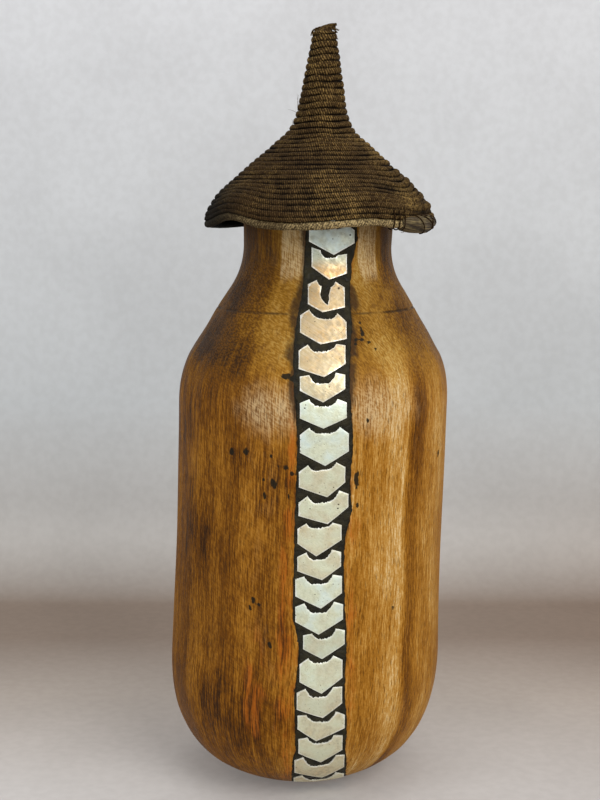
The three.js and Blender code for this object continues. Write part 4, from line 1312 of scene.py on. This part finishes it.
def build_coil(l, s, f):
    """Winds the coil from the spire's top to the brim and sews every row with thread."""
    line, _ = lid_line(l)
    rows = round(run_lengths(line)[-1] / l.coil_pitch)
    t = np.arange(0, rows + 1 + 1e-9, 1 / 48)
    middle = np.where(t < 1, t / 2, np.where(t < rows, t - 0.5, rows - 0.5 + (t - rows) / 2))
    size = np.maximum(np.where(t < 1, t, np.where(t < rows, 1, rows + 1 - t)), np.where(t < 1, 0.2, 0.62))
    azimuth = 150 - 360 * t
    around = (azimuth + 180) % 360 - 180
    turn = np.radians(azimuth)
    away = np.column_stack([np.sin(turn) * 0.02, np.cos(turn) * 0.02, middle * 0.004])
    right_end = np.exp(-(((around - RIGHT_END[0]) / RIGHT_END[1]) ** 2)) * smooth(middle / rows, 0.56, 0.8)
    gathered = np.exp(-(((around - GATHERED[0]) / GATHERED[1]) ** 2)) * smooth(middle / rows, 0.58, 0.84)
    gathered = gathered * (1 - smooth(middle / rows, 0.86, 0.98))
    strong = np.sin(middle * math.pi * 0.93 + 0.6)
    size = size * (1 + 0.05 * waves(away, 0.012, 21) + 0.2 * right_end * strong + 0.08 * gathered)
    centre_depth = l.wall / 2 * np.clip(size, 0, 1) - 0.0002 * waves(away, 0.016, 22)
    centre_depth = centre_depth - 0.0007 * right_end * strong
    wander = 0.08 * waves(away, 0.024, 23) * smooth(middle, 1, 3) * (1 - smooth(middle, rows - 3, rows - 1))
    wander = wander + 1.1 * gathered
    centre = lid_points((middle + wander) / rows, azimuth, centre_depth, l, s)
    curve = path_curve("coil_path", centre, size)
    total = run_lengths(centre)[-1]
    turns = int(total / l.stitch)
    spire_turns = int(np.interp(SPIRE_ROWS, middle, run_lengths(centre)) / l.stitch)
    cone_turns = (spire_turns + turns) // 2
    spans = (("spire", 0, spire_turns), ("cone", spire_turns, cone_turns), ("brim", cone_turns, turns))
    material = fibre_finish(f, "sewn_fibre", f.fibre_olive, f.fibre_ochre)
    for part, first, last in spans:
        turn = thread_turn("coil_of_" + part, l.stitch, l.coil_radius, 0.82, 10, 0.3)
        piece = wound(turn, curve, first * l.stitch, l.stitch, last - first)
        roughened(piece, "Uneven rows " + part, 0.007, 0.0008)
        roughened(piece, "Uneven threads " + part, 0.0016, 0.0004)
        points = points_of(piece)
        depth, outward = below_outside(points, l, s)
        # Painted shade: the deeper below the lid's outside, the darker
        keep_values(piece, "groove_shade", np.clip(depth / 0.001, 0, 1))
        raised = GROOVE_FILL * depth * (1 - smooth(depth, 0.0008, 0.0018)) * (depth > 0)
        move_points(piece, points + outward * raised[:, None])
        shaded(piece)
        finished(piece, "lid", "fibre", ["lid_coil"], material)
    bpy.data.objects.remove(curve)
    # A dark strand behind the gaps between rows: painted shade between the rows
    inner = (middle > 0.6) & (middle < rows - 1.1)
    dark_fill_line = lid_points(((middle + wander + 0.5) / rows)[inner], azimuth[inner], centre_depth[inner], l, s)
    piece = strand("dark_fill_between_rows", dark_fill_line, DARK_FILL_RADIUS, sides=1, parts=len(dark_fill_line))
    keep_values(piece, "crest", 0)
    keep_values(piece, "groove_shade", 1)
    shaded(piece)
    finished(piece, "lid", "fibre", ["lid_coil"], material)


def roll_middle(l):
    """Radius of the edge roll's middle line."""
    return l.eaves_radius + l.brim_reach - l.wall / 2


def roll_place(azimuth, l, s, out=0.0, up=0.0):
    """Points on or beside the edge roll's middle line."""
    radius = roll_middle(l) + out
    height = brim_wave(azimuth) - l.clearance - l.roll_radius + up
    return lid_place(radius, height, azimuth, l, s)


WRAP_LENGTH = 0.0013


def build_roll(l, s, f):
    """Wraps the thicker roll that edges the brim."""
    azimuth = np.arange(0, 360, 2.5)
    centre = roll_place(azimuth, l, s)
    swell = 1.04 + 0.05 * waves(centre, 0.02, 31)
    curve = path_curve("roll_path", centre, swell, looped=True)
    loop = run_lengths(np.vstack([centre, centre[:1]]))[-1]
    count = round(loop / WRAP_LENGTH)
    step = loop / count
    turn = thread_turn("wrapped_brim_roll", step, l.roll_radius, 0.97, 14, 0.6, 0.6)
    piece = wound(turn, curve, 0, step, count, close=False)
    roughened(piece, "Uneven roll", 0.008, 0.0005)
    roughened(piece, "Uneven wraps", 0.0018, 0.00025)
    points = points_of(piece)
    out = np.hypot(points[:, 0] - s.lean * points[:, 2], points[:, 1]) - roll_middle(l)
    # Painted shade on the roll's inner side, towards the wall
    keep_values(piece, "groove_shade", smooth(-out, -0.0002, 0.0012))
    shaded(piece)
    tints = (linear(184, 162, 116), linear(196, 172, 122))
    finished(piece, "lid", "fibre", ["brim_roll"], fibre_finish(f, "wrapped_fibre", *tints, 0.9))
    bpy.data.objects.remove(curve)


# Where the pad begins and how far it goes round the brim, in degrees from the front
PAD_START = 44
PAD_LENGTH = 57.5


def pad_place(along, turn, l, s, out=1.0):
    """Points of the pad's surface: along it from 0 to 1, and round it in radians."""
    azimuth = PAD_START + PAD_LENGTH * along
    ends = np.clip(np.sin(math.pi * np.clip(along, 0, 1)), 0, 1) ** 0.5
    swell = np.where(along < 0.5, 0.6 + 0.4 * ends, 0.28 + 0.72 * ends) * out
    thin = smooth(along, 0.25, 0.8)
    width = l.pad_half_width * swell * np.cos(turn) * (1 - 0.2 * thin)
    tall = l.pad_half_height * swell * np.sin(turn) * (1 - 0.4 * thin)
    return roll_place(azimuth, l, s, width, 0.0003 + tall + 0.0006 * thin)


def build_pad(l, s, f):
    """Lays strands of fibre round the brim's right end and sews them down with dark thread."""
    bpy.ops.object.select_all(action="DESELECT")
    bpy.ops.mesh.primitive_cylinder_add(vertices=96, radius=1, depth=1, end_fill_type="NGON")
    piece = bpy.context.object
    piece.name = "sewn_pad"
    bpy.ops.object.mode_set(mode="EDIT")
    sliced(np.linspace(-0.5, 0.5, 84)[1:-1], (0, 0, 1))
    close_edit()
    points = points_of(piece)
    along = points[:, 2] + 0.5
    turn = np.arctan2(points[:, 1], points[:, 0])
    laid_turn = turn + 1.1 * along
    ridge = np.abs(np.sin(laid_turn * 9 + 0.5 * np.sin(along * 9)))
    out = 0.93 + 0.08 * ridge + 0.03 * np.sin(turn * 3 + along * 11)
    move_points(piece, pad_place(along, turn, l, s, out))
    keep_vectors(piece, "laid", np.column_stack([laid_turn * 0.0045, np.zeros(len(along)), along * 0.052]))
    # Painted shade in the gaps between the laid strands
    keep_values(piece, "groove_shade", smooth(0.5 - ridge, 0, 0.5))
    edit_all(piece)
    bpy.ops.mesh.normals_make_consistent(inside=False)
    close_edit()
    roughened(piece, "Uneven pad", 0.004, 0.0005)
    shaded(piece, 60)
    finished(piece, "lid", "fibre", ["brim_patch"], laid_finish(f))

    threads = []
    for number, (begin, leave, low, high) in enumerate(PAD_THREADS):
        t = np.linspace(0, 1, 40)
        route = pad_place(begin + (leave - begin) * t, np.radians(low + (high - low) * t), l, s, 1.03)
        threads.append(strand(f"pad_thread_{number}", route, 0.00032, 1))
    knot = pad_place(np.array([0.985]), np.array([0.35]), l, s, 1.15)[0]
    bpy.ops.mesh.primitive_ico_sphere_add(subdivisions=2, radius=0.0011, location=knot)
    bpy.ops.object.transform_apply(location=True, rotation=True, scale=True)
    threads.append(bpy.context.object)
    piece = joined("pad_threads", threads)
    roughened(piece, "Uneven knot", 0.0012, 0.0005)
    keep_values(piece, "crest", 0.25)
    keep_values(piece, "groove_shade", 0)
    shaded(piece)
    piece.data.materials.append(bpy.data.materials["sewn_fibre"])
    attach(piece, "lid")


# Threads across the pad: where each begins and ends along it, and between which angles round it, in degrees
PAD_THREADS = (
    (0.1, 0.34, 150, -100), (0.14, 0.6, 120, -70), (0.2, 0.8, 100, -40), (0.3, 0.97, 92, 0),
    (0.5, 0.4, 130, -120), (0.72, 0.66, 130, -110), (0.86, 0.84, 120, -100),
)

# Azimuths of the ties in degrees, then the length of a twist and the offset and radius of each ply
TIES = (37.5, 41, 44.5)
TWIST_LENGTH = 0.0024
PLY_OFFSET = 0.00018
PLY_RADIUS = 0.00022


def build_ties(l, s):
    """Twists the three cords that are sewn round the brim beside the pad."""
    material = bpy.data.materials["sewn_fibre"]
    line_length = run_lengths(lid_line(l)[0])[-1]
    away = l.clearance + l.tie_radius
    for number, azimuth in enumerate(TIES, 1):
        reach = np.linspace(0.0045, 0, 5)
        at = np.full(5, float(azimuth))
        outer = lid_points(1 - reach / line_length, at, -away, l, s)
        turn = np.radians([-30, -60, -90, -120, -150])
        under = l.roll_radius * 1.1 + away
        below = roll_place(at, l, s, under * np.cos(turn), under * np.sin(turn))
        inner = lid_points(1 - reach[::-1] / line_length, at, l.wall + away, l, s)
        route = spaced(np.vstack([outer, below, inner]), 0.0004)
        for _ in range(6):
            route[1:-1] = (route[:-2] + route[1:-1] + route[2:]) / 3
        step = run_lengths(route)
        plies = []
        ahead = directions(route)
        across = math.radians(azimuth)
        aside = np.cross(ahead, (math.cos(across), math.sin(across), 0))
        sideways = np.cross(ahead, aside)
        for phase in (0, 2 * math.pi / 3, 4 * math.pi / 3):
            spin = step / TWIST_LENGTH * 2 * math.pi + phase
            ply = route + PLY_OFFSET * (np.cos(spin)[:, None] * aside + np.sin(spin)[:, None] * sideways)
            plies.append(strand(f"ply_{number}_{phase:.0f}", ply, PLY_RADIUS, 1))
        piece = joined(f"twisted_tie_{number}", plies)
        keep_values(piece, "crest", 0.1)
        keep_values(piece, "groove_shade", 0)
        shaded(piece)
        finished(piece, "lid", "fibre", [f"patch_tie_{number}"], material)


# Fibre ends lying across the spire's top: points in millimetres from the middle of its top, and a radius
TUFT = (
    (((-5.4, 1.2, -1.6), (-4.2, 0.6, 1.4), (-1, 0.2, 2.6), (3, -0.4, 3), (6.2, -0.6, 3.8)), 1.05),
    (((-4.8, -1.6, -1.8), (-3.4, -1.4, 1.2), (0, -1.2, 2.4), (3.4, -1.4, 2.2), (5.2, -1.6, 1.6)), 1.0),
    (((-4.4, 0.4, 0.4), (-1.5, 1.6, 1.8), (2.5, 1.6, 2.2), (5.6, 1, 2.6)), 1.0),
    (((-3.5, -2.8, -1.4), (-1.4, -3, 1), (1.6, -2.8, 1.6), (4.2, -2.4, -0.8)), 0.95),
    (((-2, -3.6, -1.6), (0.4, -3.8, 0.6), (2.6, -3.2, 0.4), (4.6, -2.2, -1.8)), 0.9),
    (((-3, 0, 0), (-1, 0, 1.2), (1.4, 0.2, 1.2), (3.6, 0, 0)), 1.4),
    (((-2.6, 2.8, -1), (0, 3.2, 1.2), (2.6, 2.8, 0.6), (4.4, 1.8, -1)), 1.0),
    (((-1, 0.4, 2.2), (-4, -0.6, 2.4), (-6, -1.2, 1.2), (-6.8, -1.4, -0.4), (-7.1, -1.2, -2)), 0.42),
    (((-3, 0, 2), (-5, -0.8, 1.6), (-6.2, -1.2, 0.4)), 0.3),
    (((3.2, -2.4, 1.4), (5.2, -3, 0.6), (6.6, -3.2, -0.8)), 0.34),
    (((2.6, -3, 1.6), (5, -3.6, 1), (7.4, -4, 0.2)), 0.22),
    (((4.2, -2, 1.4), (6.4, -2.6, 1.2), (7.6, -3, 0.8)), 0.22),
    (((4.6, -1.6, -1), (6, -2.4, -2.6), (6.8, -2.8, -4.2)), 0.26),
    (((-3.6, 2, 0.8), (-0.5, -2.2, 2), (2.4, -3.2, 1)), 0.6),
)
# Loose hairs standing off the spire: points in millimetres in the row frame, and a radius
HAIRS = (
    (((-0.8, -8, 352), (-1.9, -9, 355.5), (-2.1, -9.3, 360), (-1.2, -9, 363.5)), 0.13),
    (((-0.6, -8, 353), (-3.4, -9.4, 355.8), (-6.6, -10, 356)), 0.11),
    (((-3.8, -9, 346.5), (-4.4, -10, 349), (-4.6, -10, 351)), 0.11),
    (((-1.2, -8, 358), (-1.9, -9, 361), (-2, -9.2, 364)), 0.1),
    (((26, -4, 345), (27.2, -5, 346.2), (28, -5, 346.6)), 0.1),
    (((52, -35, 294.6), (51, -38, 293.4), (50, -38, 294.4)), 0.18),
)


def build_bundle(l, s):
    """Lays the fibre ends across the spire's top, over the core that the coil starts round."""
    top = l.seat + l.brim_drop + l.cone_height + l.flare_height + l.spire_height
    middle = np.array([s.lean * top, 0, top])
    strands = []
    for number, (route, radius) in enumerate(TUFT):
        curved = bend(24, *route) if len(route) < 6 else np.array(route)
        taper = 1 - 0.35 * np.linspace(-1, 1, 61) ** 4
        strands.append(strand(f"tuft_{number}", middle + curved * MM, radius * MM, 2, taper))
    bpy.ops.object.select_all(action="DESELECT")
    core = (s.lean * (top - 0.0095), 0, top - 0.0095)
    bpy.ops.mesh.primitive_cone_add(vertices=24, radius1=0.0032, radius2=0.0022, depth=0.021, location=core)
    bpy.ops.object.transform_apply(location=True, rotation=True, scale=True)
    strands.append(bpy.context.object)
    piece = joined("fibre_ends", strands)
    roughened(piece, "Uneven ends", 0.0012, 0.0005)
    keep_values(piece, "crest", 0.55)
    keep_values(piece, "groove_shade", 0.3)
    shaded(piece, 60)
    finished(piece, "lid", "fibre", ["spire_bundle"], bpy.data.materials["sewn_fibre"])
    hairs = []
    for number, (route, radius) in enumerate(HAIRS):
        taper = 1 - 0.6 * np.linspace(0, 1, 61)
        hairs.append(strand(f"hair_{number}", bend(16, *route) * MM, radius * MM, 1, taper))
    piece = joined("loose_hairs", hairs)
    keep_values(piece, "crest", 0.5)
    keep_values(piece, "groove_shade", 0)
    shaded(piece)
    piece.data.materials.append(bpy.data.materials["sewn_fibre"])
    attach(piece, "lid")


# Stage


def sweep_finish(f):
    """Pale paint on the floor and the wall behind it, clear from behind, glowing faintly as painted light
    that lifts the shadows, with a painted shadow low on the right.
    """
    material, tree, shader, place = new_material("studio_paint")
    faint = clouds(place, 9, 1, 6, 0.3, 0.7)
    grit = clouds(place, 160, 1, 4, 0.3, 0.7)
    across = given(tree, "SeparateXYZ", {0: place})
    stops = (
        (0, f.floor_near), (0.34, f.floor_near), (0.45, f.floor_middle), (0.54, f.floor_far),
        (0.6, f.floor_far), (0.65, f.wall_foot), (0.73, f.wall_low), (0.96, f.wall_high),
    )
    tint = ramp(stored(tree, "sweep"), stops)
    tint = blended(faint * 0.1, tint, linear(120, 112, 106), "MULTIPLY")
    tint = blended(grit * 0.07, tint, linear(130, 120, 110), "MULTIPLY")
    # Painted shadow: the wall and floor darken towards the lower right
    low = ranged(given(tree, "SeparateXYZ", {0: place}, 2), 0.16, 0)
    right = ranged(across, 0.05, 0.45) * low
    tint = blended(right * 0.5, tint, linear(190, 160, 140), "MULTIPLY")
    # The paint glows with a quarter of its colour: painted light that lifts the shadows
    fed(shader, {
        "Base Color": blended(0.25, tint, (0, 0, 0)),
        "Emission Color": tint,
        "Emission Strength": 0.25,
        "Roughness": 0.85,
        "Specular IOR Level": 0.1,
    })
    back = given(tree, "NewGeometry", output="Backfacing")
    clear = given(tree, "BsdfTransparent")
    mix = given(tree, "MixShader", {0: back, 1: shader.outputs[0], 2: clear})
    fed(tree.nodes["Material Output"], {"Surface": mix})
    return material


# Each soft lamp: its name, place, width, power and tint
LAMPS = (
    ("window_lamp", (0.75, -1.15, 1.05), 1.0, 17.0, (1.0, 0.97, 0.93)),
    ("fill_lamp", (-1.1, -1.0, 0.6), 1.2, 5.0, (0.95, 0.97, 1.0)),
    ("top_lamp", (0.0, -0.1, 1.5), 0.9, 5.0, (1.0, 0.98, 0.95)),
)
LAMP_TARGET = (0, 0, 0.2)
ROOM_TINT = (0.9, 0.91, 0.93, 1)
ROOM_STRENGTH = 0.62

# The camera fitted to the photo: lens and sensor in millimetres, its place, and its degrees down
CAMERA_LENS = 67.5
CAMERA_SENSOR = 36
CAMERA_PLACE = (-0.0005, -0.7958, 0.3213)
CAMERA_DOWN = 8.43


def build_stage(f):
    """Sets the floor that sweeps up into the wall behind, soft lamps and the camera."""
    turn = np.radians(np.linspace(-90, 0, 13))
    curve = np.column_stack([0.3 + 0.07 * np.cos(turn), 0.07 + 0.07 * np.sin(turn)])
    line = np.vstack([[[-2.5, 0], [-0.5, 0]], curve, [[0.37, 0.6], [0.37, 3.2]]])
    points = [(side, y, z) for y, z in line for side in (-3, 3)]
    faces = [(2 * i, 2 * i + 1, 2 * i + 3, 2 * i + 2) for i in range(len(line) - 1)]
    sweep = drawn("studio_sweep", points, [], faces)
    # The ramp of colours runs from half a metre in front of the pot to half a metre up the wall
    keep_values(sweep, "sweep", np.repeat(run_lengths(line) - 2.0, 2) / 1.35)
    sweep.data.materials.append(sweep_finish(f))
    shaded(sweep)

    scene = bpy.context.scene
    world = bpy.data.worlds.new("soft_room")
    world.use_nodes = True
    fed(world.node_tree.nodes["Background"], {"Color": ROOM_TINT, "Strength": ROOM_STRENGTH})
    scene.world = world
    for name, place, size, power, tint in LAMPS:
        data = bpy.data.lights.new(name, "AREA")
        data.size, data.energy, data.color = size, power, tint
        lamp = added(name, data)
        lamp.location = place
        lamp.rotation_euler = (Vector(LAMP_TARGET) - Vector(place)).to_track_quat("-Z", "Y").to_euler()

    data = bpy.data.cameras.new("photo_camera")
    data.lens, data.sensor_width = CAMERA_LENS, CAMERA_SENSOR
    data.clip_start, data.clip_end = 0.05, 20
    camera = added("photo_camera", data)
    camera.location = CAMERA_PLACE
    camera.rotation_euler = (math.radians(90 - CAMERA_DOWN), 0, 0)
    scene.camera = camera
    scene.view_settings.view_transform = "Standard"


# Tools


class StageBuilder(bpy.types.Operator):
    """Sets the floor, wall, lamps and camera"""

    bl_idname = "pot.stage"
    bl_label = "Set the stage"

    def execute(self, context):
        """Runs the tool."""
        build_stage(context.scene.pot_finishes)
        return {"FINISHED"}


class VesselBuilder(bpy.types.Operator):
    """Carves the wooden vessel"""

    bl_idname = "pot.vessel"
    bl_label = "Carve the vessel"

    def execute(self, context):
        """Runs the tool."""
        build_vessel(context.scene.pot_vessel, context.scene.pot_finishes)
        return {"FINISHED"}


class PitchBuilder(bpy.types.Operator):
    """Fills the channel with black pitch"""

    bl_idname = "pot.pitch"
    bl_label = "Fill the channel"

    def execute(self, context):
        """Runs the tool."""
        build_pitch(context.scene.pot_vessel, context.scene.pot_finishes)
        return {"FINISHED"}


class PlateBuilder(bpy.types.Operator):
    """Cuts and sets the aluminium plates"""

    bl_idname = "pot.plates"
    bl_label = "Set the plates"

    def execute(self, context):
        """Runs the tool."""
        finishes = context.scene.pot_finishes
        materials = (plate_finish(finishes), cut_edge_finish(finishes))
        for index in range(len(PLATES)):
            build_plate(index, context.scene.pot_vessel, materials)
        return {"FINISHED"}


class CoilBuilder(bpy.types.Operator):
    """Winds and sews the lid's coil"""

    bl_idname = "pot.coil"
    bl_label = "Wind the lid"

    def execute(self, context):
        """Runs the tool."""
        scene = context.scene
        build_coil(scene.pot_lid, scene.pot_vessel, scene.pot_finishes)
        build_roll(scene.pot_lid, scene.pot_vessel, scene.pot_finishes)
        return {"FINISHED"}


class PadBuilder(bpy.types.Operator):
    """Sews the pad and its ties to the brim"""

    bl_idname = "pot.pad"
    bl_label = "Sew the pad"

    def execute(self, context):
        """Runs the tool."""
        scene = context.scene
        build_pad(scene.pot_lid, scene.pot_vessel, scene.pot_finishes)
        build_ties(scene.pot_lid, scene.pot_vessel)
        return {"FINISHED"}


class BundleBuilder(bpy.types.Operator):
    """Lays the fibre ends on the spire"""

    bl_idname = "pot.bundle"
    bl_label = "Lay the fibre ends"

    def execute(self, context):
        """Runs the tool."""
        scene = context.scene
        build_bundle(scene.pot_lid, scene.pot_vessel)
        return {"FINISHED"}


TOOLS = (StageBuilder, VesselBuilder, PitchBuilder, PlateBuilder, CoilBuilder, PadBuilder, BundleBuilder)


class PotPanel(bpy.types.Panel):
    """Lists the pot's tools in the sidebar."""

    bl_idname = "VIEW3D_PT_pot"
    bl_label = "Lidded pot"
    bl_space_type = "VIEW_3D"
    bl_region_type = "UI"
    bl_category = "Pot"

    def draw(self, context):
        """Draws the panel."""
        for tool in TOOLS:
            self.layout.operator(tool.bl_idname)


CLASSES = (VesselSizes, LidSizes, Finishes, *TOOLS, PotPanel)


def register():
    """Adds the classes and their settings."""
    for each in CLASSES:
        bpy.utils.register_class(each)
    bpy.types.Scene.pot_vessel = bpy.props.PointerProperty(type=VesselSizes)
    bpy.types.Scene.pot_lid = bpy.props.PointerProperty(type=LidSizes)
    bpy.types.Scene.pot_finishes = bpy.props.PointerProperty(type=Finishes)


def unregister():
    """Removes the classes and their settings."""
    del bpy.types.Scene.pot_finishes
    del bpy.types.Scene.pot_lid
    del bpy.types.Scene.pot_vessel
    for each in reversed(CLASSES):
        bpy.utils.unregister_class(each)


def main():
    """Builds everything in order."""
    register()
    bpy.ops.pot.stage()
    bpy.ops.pot.vessel()
    bpy.ops.pot.pitch()
    bpy.ops.pot.plates()
    bpy.ops.pot.coil()
    bpy.ops.pot.pad()
    bpy.ops.pot.bundle()


if __name__ == "__main__":
    main()
